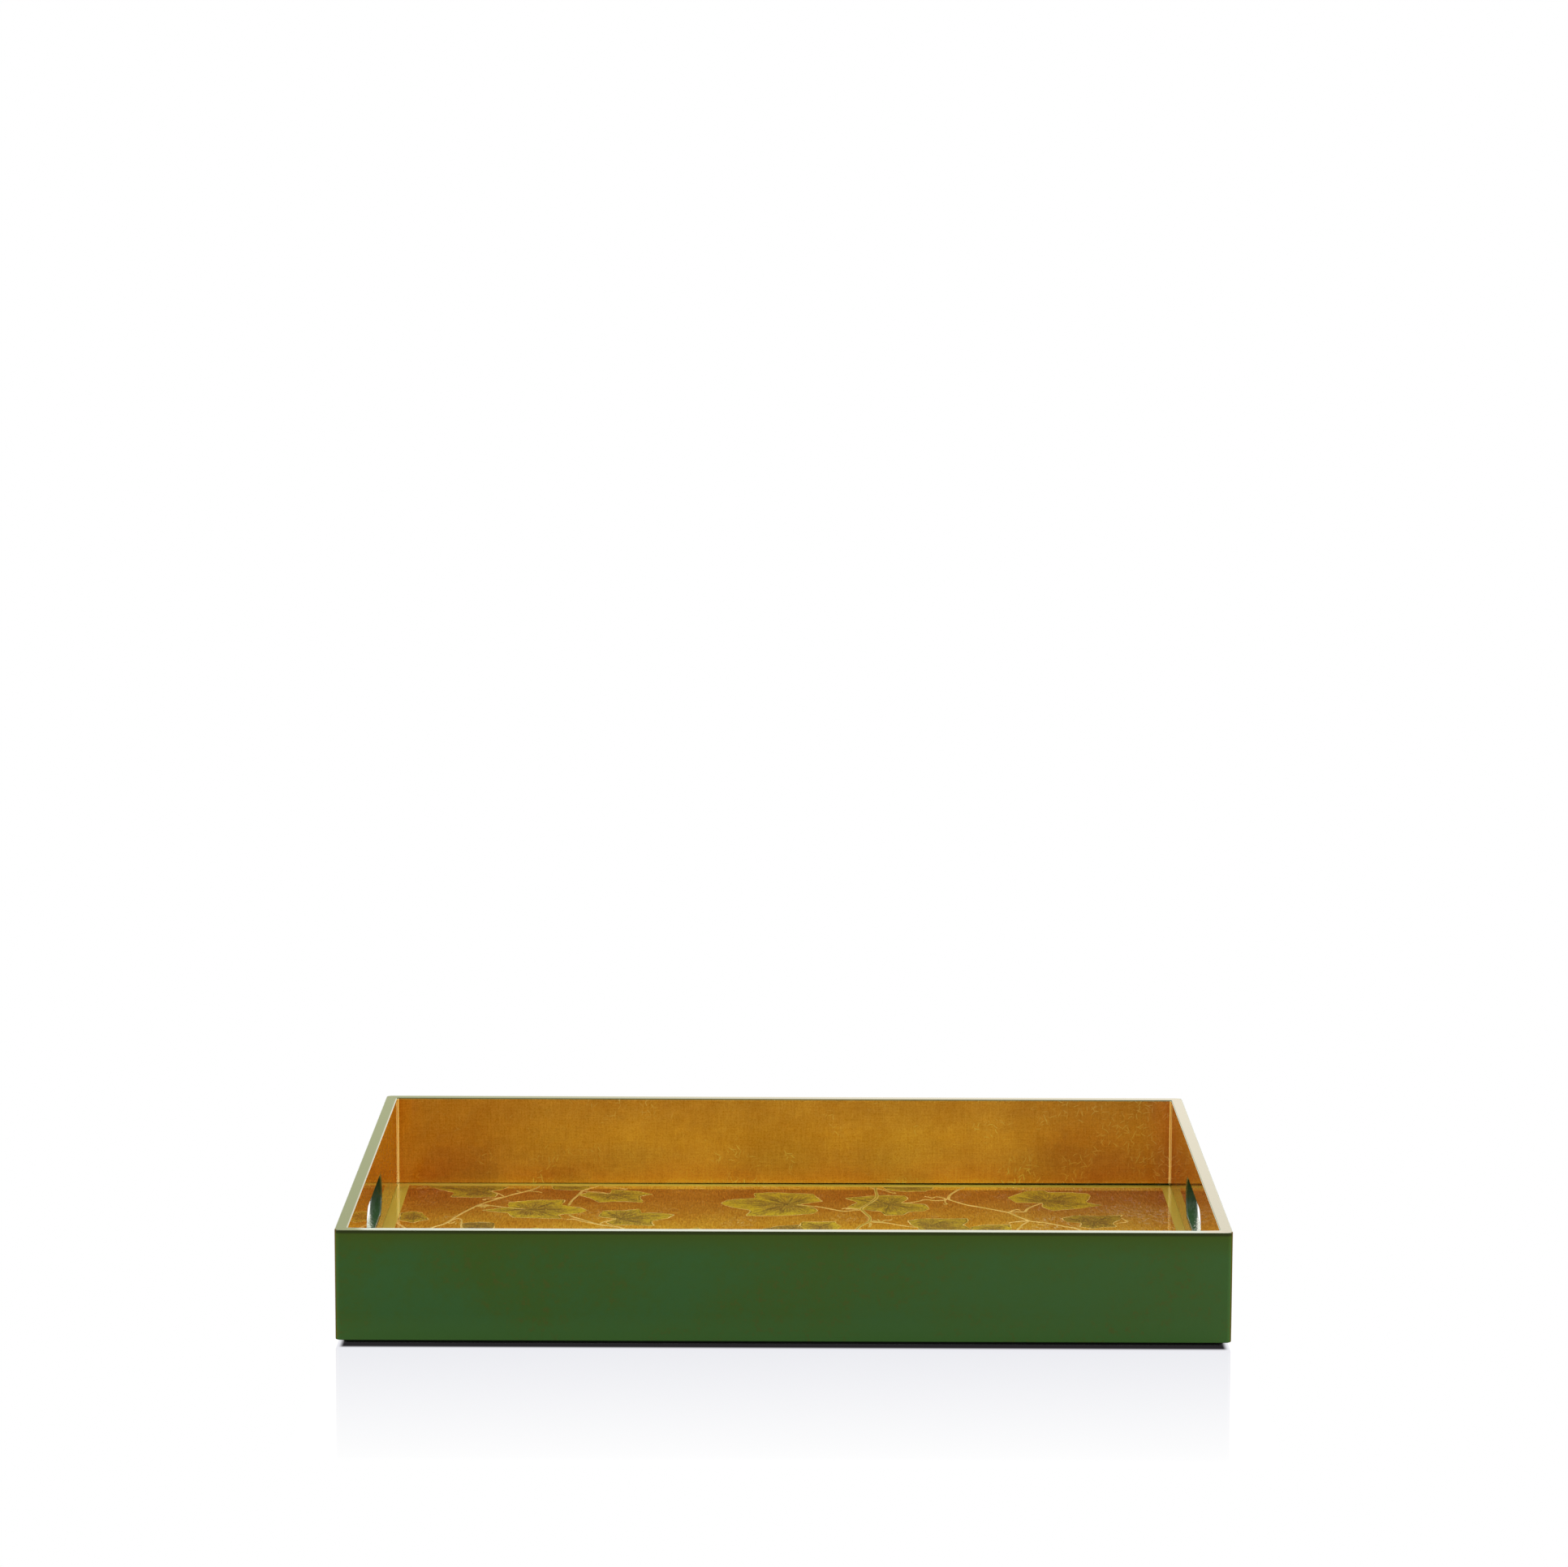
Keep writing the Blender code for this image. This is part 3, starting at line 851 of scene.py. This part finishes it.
def wall_section():
    """The section of a wall as (inset, z, corner radius, material), once round."""
    edge = RIM_EDGE_ROUNDING
    rows = []
    for inset, z in arc((FOOT_ROUNDING, FOOT_Z + FOOT_ROUNDING), FOOT_ROUNDING, 270, 180, 3):
        rows.append((inset, z, OUTER_CORNER_RADIUS, GREEN))
    for inset, z in arc((edge, RIM_Z - edge), edge, 180, 90, ARC_SEGMENTS):
        rows.append((inset, z, OUTER_CORNER_RADIUS, GREEN))
    inner_arc = arc((WALL - RIM_ROUNDING, RIM_Z - RIM_ROUNDING), RIM_ROUNDING, 90, 0, ARC_SEGMENTS)
    for index, (inset, z) in enumerate(inner_arc):
        paint = GREEN if index < ARC_SEGMENTS - 2 else GOLD
        rows.append((inset, z, INNER_CORNER_RADIUS, paint))
    rows.append((WALL, FLOOR_Z + PANEL_GAP, INNER_CORNER_RADIUS, GREEN))
    rows.append((LIP, FLOOR_Z + PANEL_GAP, REBATE_CORNER_RADIUS, GREEN))
    rows.append((LIP, FOOT_Z, REBATE_CORNER_RADIUS, GREEN))
    return rows


def wall_row(half_length, half_span, inset, z, radius):
    """One line along a wall, from the middle of one corner to the middle of the next."""
    center_x = half_length - inset - radius
    center_y = -(half_span - inset - radius)
    left = arc((-center_x, center_y), radius, 225, 270, CORNER_SEGMENTS)
    right = arc((center_x, center_y), radius, 270, 315, CORNER_SEGMENTS)
    reach = half_length - LEAN_FADE
    between = [(-reach, center_y - radius), (reach, center_y - radius)]
    return [(x, y, z) for x, y in left + between + right]


def open_gap(mesh):
    """Widen the gap under the back wall towards the tray's right end, which is at -X here."""
    for vert in mesh.vertices:
        if abs(vert.co.z - FLOOR_Z - PANEL_GAP) < TOLERANCE:
            share = 0.5 - 0.5 * vert.co.x / HALF_X
            vert.co.z = FLOOR_Z + GAP_LEFT + (GAP_RIGHT - GAP_LEFT) * share


def lean_top(mesh, half_length, half_span):
    """Let the wall's top fall a little towards the inside, except at the corners."""
    for vert in mesh.vertices:
        inset = vert.co.y + half_span
        if vert.co.z > RIM_Z - 2 * MM and abs(vert.co.x) < half_length - LEAN_FADE + MM:
            vert.co.z -= FRONT_RIM_LEAN * inset / WALL


def wall_mesh(name, half_length, half_span):
    """A mitred wall in its own frame, outer face towards -Y, closed at both mitres."""
    bm = bmesh.new()
    section = wall_section()
    rows = []
    for inset, z, radius, _ in section:
        points = wall_row(half_length, half_span, inset, z, radius)
        rows.append([bm.verts.new(point) for point in points])
    for index, row in enumerate(rows):
        for face in bridge(bm, row, rows[(index + 1) % len(rows)], closed=False):
            face.material_index = section[index][3]
    bm.faces.new([row[0] for row in rows])
    bm.faces.new([row[-1] for row in rows])
    mesh = mesh_from(name, bm)
    if name == "back_wall":
        open_gap(mesh)
    if name == "front_wall":
        lean_top(mesh, half_length, half_span)
    return mesh


def slot_cutter(half_span):
    """An oblong bar through an end wall, in the wall's frame."""
    radius = SLOT_HEIGHT / 2
    reach = SLOT_LENGTH / 2 - radius
    outline = arc((reach, SLOT_Z), radius, -90, 90, SLOT_SEGMENTS)
    outline += arc((-reach, SLOT_Z), radius, 90, 270, SLOT_SEGMENTS)
    bm = bmesh.new()
    near = [bm.verts.new((x, -half_span - WALL, z)) for x, z in outline]
    far = [bm.verts.new((x, -half_span + 2 * WALL, z)) for x, z in outline]
    bm.faces.new(near)
    bm.faces.new(far)
    bridge(bm, near, far)
    return mesh_from("slot_cutter", bm)


def is_near_slot(place):
    """True within a millimetre of the box round a hand hole, in the wall's frame."""
    return abs(place.x) < SLOT_LENGTH / 2 + MM and abs(place.z - SLOT_Z) < SLOT_HEIGHT / 2 + MM


def is_slot_mouth(edge, half_span):
    """True for an edge round a hand hole, on the inner or outer face of the wall."""
    for vert in edge.verts:
        inset = vert.co.y + half_span
        on_face = min(abs(inset), abs(inset - WALL)) < TOLERANCE
        if not (on_face and is_near_slot(vert.co)):
            return False
    return len(edge.link_faces) == 2 and edge.calc_face_angle() > SHARP_ANGLE


def cut_hand_hole(mesh, half_span):
    """Cut the oblong through the wall and round both its mouths."""
    wall = add_object("cut_wall", mesh)
    cutter = add_object("cut_slot", slot_cutter(half_span))
    boolean = wall.modifiers.new("hand_hole", "BOOLEAN")
    boolean.operation = "DIFFERENCE"
    boolean.object = cutter
    cut = bpy.data.meshes.new_from_object(wall.evaluated_get(bpy.context.evaluated_depsgraph_get()))
    for thing in (wall, cutter):
        bpy.data.objects.remove(thing)
    bm = bmesh.new()
    bm.from_mesh(cut)
    edges = [edge for edge in bm.edges if is_slot_mouth(edge, half_span)]
    bmesh.ops.bevel(bm, geom=edges, offset=SLOT_ROUNDING, segments=ARC_SEGMENTS, profile=0.5, affect="EDGES")
    for face in bm.faces:
        if is_near_slot(face.calc_center_median()) and abs(face.normal.y) < 0.999:
            face.material_index = TUNNEL
    bm.to_mesh(cut)
    bm.free()
    return cut


def build_walls(paints):
    for name, half_length, half_span, turn in SIDES:
        mesh = wall_mesh(name, half_length, half_span)
        if name.endswith("_end_wall"):
            mesh = cut_hand_hole(mesh, half_span)
        mesh.transform(Matrix.Rotation(math.radians(turn), 4, "Z"))
        piece = add_piece("lacquered_" + name, mesh, paints, (name,))
        shade(piece)


def build_border(paint):
    """The painted line round the floor's edge, as a thin raised frame."""
    bm = bmesh.new()
    section = (
        (0, -PAINT_SINK),
        (0, BORDER_HEIGHT),
        (0.98, BORDER_HEIGHT),
        (1, 0),
        (1, -PAINT_SINK),
    )
    corners = (("left", "front"), ("right", "front"), ("right", "back"), ("left", "back"))
    rings = []
    for share, height in section:
        ring = []
        for side, end in corners:
            x = HALF_X - WALL + PANEL_GAP - share * BORDER_WIDTHS[side]
            y = HALF_Y - WALL + PANEL_GAP - share * BORDER_WIDTHS[end]
            place = (-x if side == "left" else x, -y if end == "front" else y, FLOOR_Z + height)
            ring.append(bm.verts.new(place))
        rings.append(ring)
    for index, ring in enumerate(rings):
        bridge(bm, ring, rings[(index + 1) % len(rings)])
    add_piece("floor_border", mesh_from("floor_border", bm), (paint,), ())


def felt_ring(inset):
    """The felt's outline in x and y, moved in by inset: a quarter arc and an edge, four times."""
    reach_x = (FELT_HIGH.x - FELT_LOW.x) / 2 - FELT_CORNER_RADIUS
    reach_y = (FELT_HIGH.y - FELT_LOW.y) / 2 - FELT_CORNER_RADIUS
    centers = ((reach_x, reach_y), (-reach_x, reach_y), (-reach_x, -reach_y), (reach_x, -reach_y))
    radius = FELT_CORNER_RADIUS - inset
    ring = []
    for quarter, center in enumerate(centers):
        turn = quarter * 90 + 90
        ring += arc(center, radius, turn - 90, turn, 5)
        start = ring[-1]
        target = arc(centers[(quarter + 1) % 4], radius, turn, turn, 1)[0]
        for step in range(1, FELT_EDGE_STEPS):
            share = step / FELT_EDGE_STEPS
            ring.append(tuple(a + (b - a) * share for a, b in zip(start, target)))
    return ring


def build_felt(cloth):
    """The felt sheet, a little uneven, with a soft cut edge."""
    soft = FELT_EDGE_ROUNDING
    profile = arc((0, FELT_LOW.z + soft), soft, -90, 0, 3) + arc((0, FELT_HIGH.z - soft), soft, 0, 90, 3)
    bm = bmesh.new()
    rings = []
    for out, z in profile:
        ring = []
        for x, y in felt_ring(soft - out):
            fuzz = FELT_FUZZ * noise.noise(Vector((x, y, z)) * FUZZ_PER_METRE)
            ring.append(bm.verts.new((x + fuzz, y - fuzz, z)))
        rings.append(ring)
    for lower, upper in zip(rings, rings[1:]):
        bridge(bm, lower, upper)
    bm.faces.new(rings[0])
    bm.faces.new(rings[-1])
    piece = add_piece("felt_sheet", mesh_from("felt_sheet", bm), (cloth,), ("felt_pad",))
    shade(piece)


# ---------------- ivy
def resample(outline):
    """A closed outline in mm as evenly spaced points, its corners a little softened."""
    corners = np.array(outline + (outline[0],), float)
    gone = np.concatenate(([0], np.cumsum(np.linalg.norm(np.diff(corners, axis=0), axis=1))))
    spots = np.linspace(0, gone[-1], LEAF_POINTS, endpoint=False)
    points = np.stack([np.interp(spots, gone, corners[:, axis]) for axis in (0, 1)], 1)
    return (np.roll(points, 1, 0) + 2 * points + np.roll(points, -1, 0)) / 4


def hand_drawn(points, seed):
    """The points moved a little in and out, as a brush would."""
    moved = []
    for x, y in points:
        wobble = noise.noise_vector(Vector((x * WOBBLES_PER_MM, y * WOBBLES_PER_MM, seed)))
        moved.append((x + EDGE_WOBBLE * wobble.x, y + EDGE_WOBBLE * wobble.y))
    return np.array(moved)


def inside_border(points):
    """Points in mm kept off the border's paint and off the walls."""
    low = np.array((-HALF_X + BORDER_WIDTHS["left"], -HALF_Y + BORDER_WIDTHS["front"]))
    high = np.array((HALF_X - BORDER_WIDTHS["right"], HALF_Y - BORDER_WIDTHS["back"]))
    return np.clip(points, (low + WALL) / MM + 0.1, (high - WALL) / MM - 0.1)


def vein_strength(spot, hub, tips):
    """1 on a line from the hub to a lobe's tip, falling to 0 away from it and towards the tip."""
    strength = 0.0
    for tip in tips:
        run = tip - hub
        share = np.clip(np.dot(spot - hub, run) / np.dot(run, run), 0, 1)
        off = np.linalg.norm(spot - hub - share * run)
        strength = max(strength, math.exp(-((off / VEIN_RADIUS) ** 2)) * (1 - share ** 2))
    return strength


def lobe_tips(outline, hub):
    """The outline's points that stand out from the hub."""
    points = np.array(outline, float)
    reach = np.linalg.norm(points - hub, axis=1)
    out = (reach > np.roll(reach, 1)) & (reach > np.roll(reach, -1))
    return points[out]


def add_leaf(bm, layers, brown, hub, outline, seed):
    """A low dome of paint, its rings shrinking towards the hub. Returns its edge in mm."""
    hub = np.array(hub, float)
    tips = lobe_tips(outline, hub)
    edge = inside_border(hand_drawn(resample(outline), seed))
    rings = []
    for share in LEAF_RINGS:
        ring = []
        for spot in (hub + (edge - hub) * share if share > 0 else [hub]):
            vein = vein_strength(spot, hub, tips)
            dome = math.sqrt(1 - share ** 10)
            height = LEAF_HEIGHT * (0.4 + 0.6 * dome) + VEIN_HEIGHT * vein
            vert = bm.verts.new((spot[0] * MM, spot[1] * MM, FLOOR_Z + height))
            vert[layers["depth"]] = np.linalg.norm(edge - spot, axis=1).min()
            vert[layers["vein"]] = vein
            vert[layers["brown"]] = brown
            run = (spot - hub) / max(np.linalg.norm(spot - hub), 1e-9)
            vert[layers["spoke"]] = (run[0], run[1], share)
            ring.append(vert)
        rings.append(ring)
    base = [bm.verts.new((vert.co.x, vert.co.y, FLOOR_Z - PAINT_SINK)) for vert in rings[-1]]
    rings.append(base)
    for index in range(LEAF_POINTS):
        after = (index + 1) % LEAF_POINTS
        bm.faces.new((rings[0][0], rings[1][index], rings[1][after]))
        for inner, outer in zip(rings[1:], rings[2:]):
            bm.faces.new((inner[index], outer[index], outer[after], inner[after]))
    bm.faces.new(list(reversed(base)))
    return edge


def plain_leaf(x, y, length, width, turn, brown):
    """A plain leaf's brown share, hub and outline, placed on the floor in mm."""
    cosine, sine = math.cos(math.radians(turn)), math.sin(math.radians(turn))
    placed = []
    for along, across in (PLAIN_HUB,) + PLAIN_OUTLINE:
        u, v = along * length, across * width
        placed.append((x + u * cosine - v * sine, y + u * sine + v * cosine))
    return brown, placed[0], tuple(placed[1:])


def add_bead(bm, path, radii, height, closed=False, layer=None, core=0.0):
    """A low rounded line of paint along a path in mm. Its core is marked along the middle."""
    count = len(path)
    rings = []
    for index, point in enumerate(path):
        if closed:
            before, after = path[index - 1], path[(index + 1) % count]
        else:
            before, after = path[max(index - 1, 0)], path[min(index + 1, count - 1)]
        run = after - before
        run = run / max(np.linalg.norm(run), 1e-9)
        side = np.array((-run[1], run[0])) * radii[index]
        ring = []
        for angle in BEAD_ANGLES:
            spot = point + side * math.cos(math.radians(angle))
            up = height * math.sin(math.radians(angle))
            vert = bm.verts.new((spot[0] * MM, spot[1] * MM, FLOOR_Z + BEAD_LIFT + up))
            if layer:
                vert[layer] = core * math.sin(math.radians(angle)) ** 6
            ring.append(vert)
        for sign in (-1, 1):
            spot = point + sign * side
            ring.append(bm.verts.new((spot[0] * MM, spot[1] * MM, FLOOR_Z - PAINT_SINK)))
        rings.append(ring)
    pairs = list(zip(rings, rings[1:]))
    if closed:
        pairs.append((rings[-1], rings[0]))
    else:
        bm.faces.new(rings[0])
        bm.faces.new(list(reversed(rings[-1])))
    for near, far in pairs:
        bridge(bm, near, far)


def smooth_path(points, step_mm=1.0):
    """A Catmull-Rom curve through points in mm."""
    points = [np.array(point, float) for point in points]
    points = [2 * points[0] - points[1]] + points + [2 * points[-1] - points[-2]]
    path = []
    for a, b, c, d in zip(points, points[1:], points[2:], points[3:]):
        steps = max(2, int(np.linalg.norm(c - b) / step_mm))
        for step in range(steps):
            t = step / steps
            path.append(0.5 * (2 * b + (c - a) * t + (2 * a - 5 * b + 4 * c - d) * t ** 2
                               + (3 * b - a - 3 * c + d) * t ** 3))
    path.append(points[-2])
    return np.array(path)


def tendril_path(x, y, heading, length, turns):
    """A short shoot that ends in a curl, in mm."""
    angle = math.radians(heading)
    spot = np.array((x, y), float)
    path = [spot.copy()]
    for step in range(TENDRIL_STEPS):
        share = step / TENDRIL_STEPS
        angle += turns * 2 * math.pi * share ** 2 * 3 / TENDRIL_STEPS
        pace = length / TENDRIL_STEPS * (1.25 - 0.75 * share)
        spot = spot + pace * np.array((math.cos(angle), math.sin(angle)))
        path.append(spot.copy())
    return np.array(path)


def stem_radii(path, width, seed, taper):
    """Half widths in mm along a stem: thinner to its end, swelling a little here and there."""
    count = len(path)
    radii = []
    for index, point in enumerate(path):
        share = index / (count - 1)
        swell = noise.noise(Vector((point[0] * SWELLS_PER_MM, point[1] * SWELLS_PER_MM, seed)))
        end = min(1.0, 0.35 + min(index, count - 1 - index) / 3)
        radii.append(width / WIDTH_PER_RADIUS * (1 - taper * share) * (1 + 0.35 * swell) * end)
    return radii


def outline_radii(edge, seed):
    """Half widths in mm of a leaf's pale outline, which breaks off in places."""
    radii = []
    for x, y in edge:
        worn = noise.noise(Vector((x * BREAKS_PER_MM, y * BREAKS_PER_MM, seed)))
        radii.append(OUTLINE_RADIUS * min(1.0, max(0.08, 0.45 + 2.2 * worn)))
    return radii


def build_ivy(leaf, outline_paint, stem_paint):
    leaves = bmesh.new()
    layers = {name: leaves.verts.layers.float.new(name) for name in ("depth", "vein", "brown")}
    layers["spoke"] = leaves.verts.layers.float_vector.new("spoke")
    outlines = bmesh.new()
    stems = bmesh.new()
    core_layer = stems.verts.layers.float.new("core")
    placed = LEAVES + tuple(plain_leaf(*place) for place in PLAIN_LEAVES)
    for seed, (brown, hub, outline) in enumerate(placed):
        edge = add_leaf(leaves, layers, brown, hub, outline, seed)
        add_bead(outlines, edge, outline_radii(edge, seed), OUTLINE_HEIGHT, closed=True)
    for seed, (width, core, *points) in enumerate(STEMS):
        path = inside_border(smooth_path(points))
        add_bead(stems, path, stem_radii(path, width, seed, 0.1), STEM_HEIGHT, False, core_layer, core)
    for seed, (width, *points) in enumerate(STALKS):
        path = inside_border(smooth_path(points))
        add_bead(stems, path, stem_radii(path, width, seed, 0.3), STALK_HEIGHT, False, core_layer, 0.1)
    for seed, tendril in enumerate(TENDRILS):
        path = inside_border(tendril_path(*tendril))
        add_bead(stems, path, stem_radii(path, TENDRIL_WIDTH, seed, 0.5), STALK_HEIGHT, False, core_layer)
    for name, bm, paint in (
        ("ivy_leaves", leaves, leaf),
        ("ivy_outlines", outlines, outline_paint),
        ("ivy_stems", stems, stem_paint),
    ):
        mesh = mesh_from(name, bm)
        mesh.shade_smooth()
        mesh.set_sharp_from_angle(angle=PAINT_SHARP_ANGLE)
        add_piece(name, mesh, (paint,), ())


# ---------------- stage
def table_seen(g, beyond_x, beyond_y):
    """What the camera sees of the table: white, a faint mirror image and a painted shadow under the tray."""
    out_x = g.larger(beyond_x, 0.0)
    out_y = g.larger(beyond_y, 0.0)
    away = g.math("SQRT", g.plus(g.times(out_x, out_x), g.times(out_y, out_y)))
    mirror = g.remap(away, 0.0, MIRROR_REACH, MIRROR_STRENGTH, 0.0)
    mirror = g.times(mirror, g.remap(out_x, 0.0, MIRROR_SIDE_FADE, 1.0, 0.0))
    # Painted reflection: the white turns a little blue where the mirror image lies
    cool = g.mix(g.remap(mirror, 0.0, MIRROR_STRENGTH), rgb(1.0, 1.0, 1.0), rgb(1.0, 0.995, 1.05))
    white = g.add("Emission", {"Color": cool}).outputs[0]
    gloss = g.add("BsdfGlossy", {"Color": rgb(0.94, 0.96, 1.0), "Roughness": 0.05}).outputs[0]
    shadow = g.add("Emission", {"Color": rgb(0.021, 0.019, 0.021)}).outputs[0]
    under_x = g.remap(beyond_x, *SHADOW_SIDES, 1.0, 0.0, smooth=True)
    under_y = g.remap(beyond_y, *SHADOW_FRONT, 1.0, 0.0, smooth=True)
    shine = g.mix_shaders(mirror, white, gloss)
    return g.mix_shaders(g.times(under_x, under_y), shine, shadow)


def build_stage():
    """A white glossy table, see-through from below and, for light only, right under the tray."""
    bm = bmesh.new()
    bmesh.ops.create_grid(bm, x_segments=1, y_segments=1, size=TABLE_HALF_SIDE)
    table = add_object("table", mesh_from("table", bm))
    material, g = new_material("table_white")
    place = g.split(g.add("TexCoord").outputs["Object"])
    beyond_x = g.minus(g.absolute(place[0]), HALF_X)
    beyond_y = g.minus(g.absolute(place[1]), HALF_Y)
    clear = g.add("BsdfTransparent").outputs[0]
    cloth = g.add("BsdfDiffuse", {"Color": rgb(0.22, 0.22, 0.17)}).outputs[0]
    outside = g.remap(g.larger(beyond_x, beyond_y), *LIGHT_OPENING)
    lit = g.mix_shaders(outside, clear, cloth)
    camera_ray = g.add("LightPath").outputs["Is Camera Ray"]
    surface = g.mix_shaders(camera_ray, lit, table_seen(g, beyond_x, beyond_y))
    from_below = g.add("NewGeometry").outputs["Backfacing"]
    g.add("OutputMaterial", {"Surface": g.mix_shaders(from_below, surface, clear)})
    table.data.materials.append(material)
    table.location.z = -TABLE_GAP


def build_world():
    """White to the camera. To the tray, a bright backdrop behind it and a dim room in front.

    x, y and z are those of the direction one looks in, each from -1 to 1.
    """
    world = bpy.data.worlds.new("studio")
    bpy.context.scene.world = world
    world.use_nodes = True
    g = Graph(world.node_tree)
    x, y, z = g.split(g.add("TexCoord").outputs["Generated"])
    side = g.remap(x, -0.083, 0.02, smooth=True)
    backdrop = g.mix(side, rgb(1.17, 1.18, 0.79), rgb(2.42, 2.18, 1.88))
    backdrop = g.mix(g.remap(z, 0.185, 0.165), backdrop, rgb(2.20, 2.27, 2.08))
    backdrop = g.mix(g.remap(z, 0.26, 0.34), backdrop, rgb(1.5, 1.45, 1.4))
    room = g.mix(g.remap(z, -0.1, 0.7), rgb(0.14, 0.14, 0.14), rgb(0.45, 0.45, 0.46))
    behind = g.remap(y, 0.05, 0.75, smooth=True)
    around = g.mix(behind, room, backdrop)
    above_behind = g.times(g.remap(z, 0.40, 0.54, smooth=True), behind)
    above = g.larger(g.remap(z, 0.35, 0.8, smooth=True), above_behind)
    light = g.mix(above, around, rgb(0.75, 0.75, 0.76))
    camera_ray = g.add("LightPath").outputs["Is Camera Ray"]
    color = g.mix(camera_ray, light, rgb(1.0, 1.0, 1.0))
    background = g.add("Background", {"Color": color})
    g.add("OutputWorld", {"Surface": background.outputs[0]})


def add_softbox(name, place, target, size, power):
    light = bpy.data.lights.new(name, "AREA")
    light.shape = "RECTANGLE"
    light.size, light.size_y = size
    light.energy = power
    lamp = add_object(name, light)
    lamp.location = place
    lamp.rotation_euler = (Vector(target) - Vector(place)).to_track_quat("-Z", "Y").to_euler()
    lamp.visible_camera = False
    return lamp


def build_lights():
    top_box = add_softbox("top_box", (0, 0.35, 1.5), (0, 0, 0), (1.6, 1.0), 16)
    top_box.visible_glossy = False
    add_softbox("left_box", (-1.5, -0.5, 0.7), (0, 0, 0.03), (0.9, 0.9), 7)
    add_softbox("right_box", (1.5, -0.3, 0.7), (0, 0, 0.03), (0.9, 0.9), 9)


def build_camera():
    """The camera, first set level and looking along +Y, then rolled, pitched down and turned."""
    roll = Matrix.Rotation(CAMERA_ROLL, 4, "Z")
    pitch = Matrix.Rotation(math.pi / 2 - CAMERA_PITCH, 4, "X")
    yaw = Matrix.Rotation(-CAMERA_YAW, 4, "Z")
    data = bpy.data.cameras.new("camera")
    data.lens = CAMERA_LENS
    data.sensor_width = SENSOR_WIDTH
    data.sensor_fit = "HORIZONTAL"
    camera = add_object("camera", data)
    camera.matrix_world = Matrix.Translation(CAMERA_PLACE) @ yaw @ pitch @ roll
    bpy.context.scene.camera = camera


def paint_cad_node(name, material):
    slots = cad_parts[name].data.materials
    slots.clear()
    slots.append(material)


def build():
    wall_gold = gold_leaf(
        "wall_gold",
        (rgb(0.73, 0.46, 0.059), rgb(0.89, 0.635, 0.101), rgb(1.0, 0.94, 0.30)),
        (rgb(0.84, 0.74, 0.42), rgb(1.13, 1.25, 1.80)),
        (0.38, 0.35, 1.0, CLEAR_COAT),
        ((dim_ends, rgb(0.88, 0.70, 0.62)), (wall_foot, rgb(1.16, 1.02, 0.76)),
         (wall_top, rgb(0.88, 0.86, 1.12)), (left_end, rgb(1.11, 1.02, 0.68)),
         (right_end, rgb(0.96, 0.79, 1.18))))
    floor_gold = gold_leaf(
        "floor_gold",
        (rgb(0.63, 0.312, 0.018), rgb(0.77, 0.478, 0.030), rgb(1.0, 0.86, 0.29)),
        (rgb(0.66, 0.49, 0.12), rgb(1.36, 1.62, 2.80)),
        (0.30, 0.15, 0.65, THIN_COAT),
        ((dim_back, rgb(0.54, 0.315, 0.40)), (brown_right, rgb(0.98, 1.12, 2.0)),
         (bright_edge, rgb(1.12, 1.12, 1.12))))
    build_walls((green_lacquer(), wall_gold, shaded_hole_lacquer()))
    paint_cad_node("base_panel", floor_gold)
    build_border(border_paint())
    build_felt(felt_cloth())
    steel = pin_steel()
    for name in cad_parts:
        if "_pin_" in name:
            paint_cad_node(name, steel)
    build_ivy(
        leaf_paint(),
        pale_gold_paint("outline_paint", rgb(0.98, 0.80, 0.30), rgb(0.62, 0.46, 0.10)),
        pale_gold_paint("stem_paint", rgb(0.92, 0.70, 0.23), rgb(0.68, 0.51, 0.11)),
    )
    build_stage()
    build_world()
    build_lights()
    build_camera()
    bpy.context.scene.view_settings.view_transform = "Standard"


build()
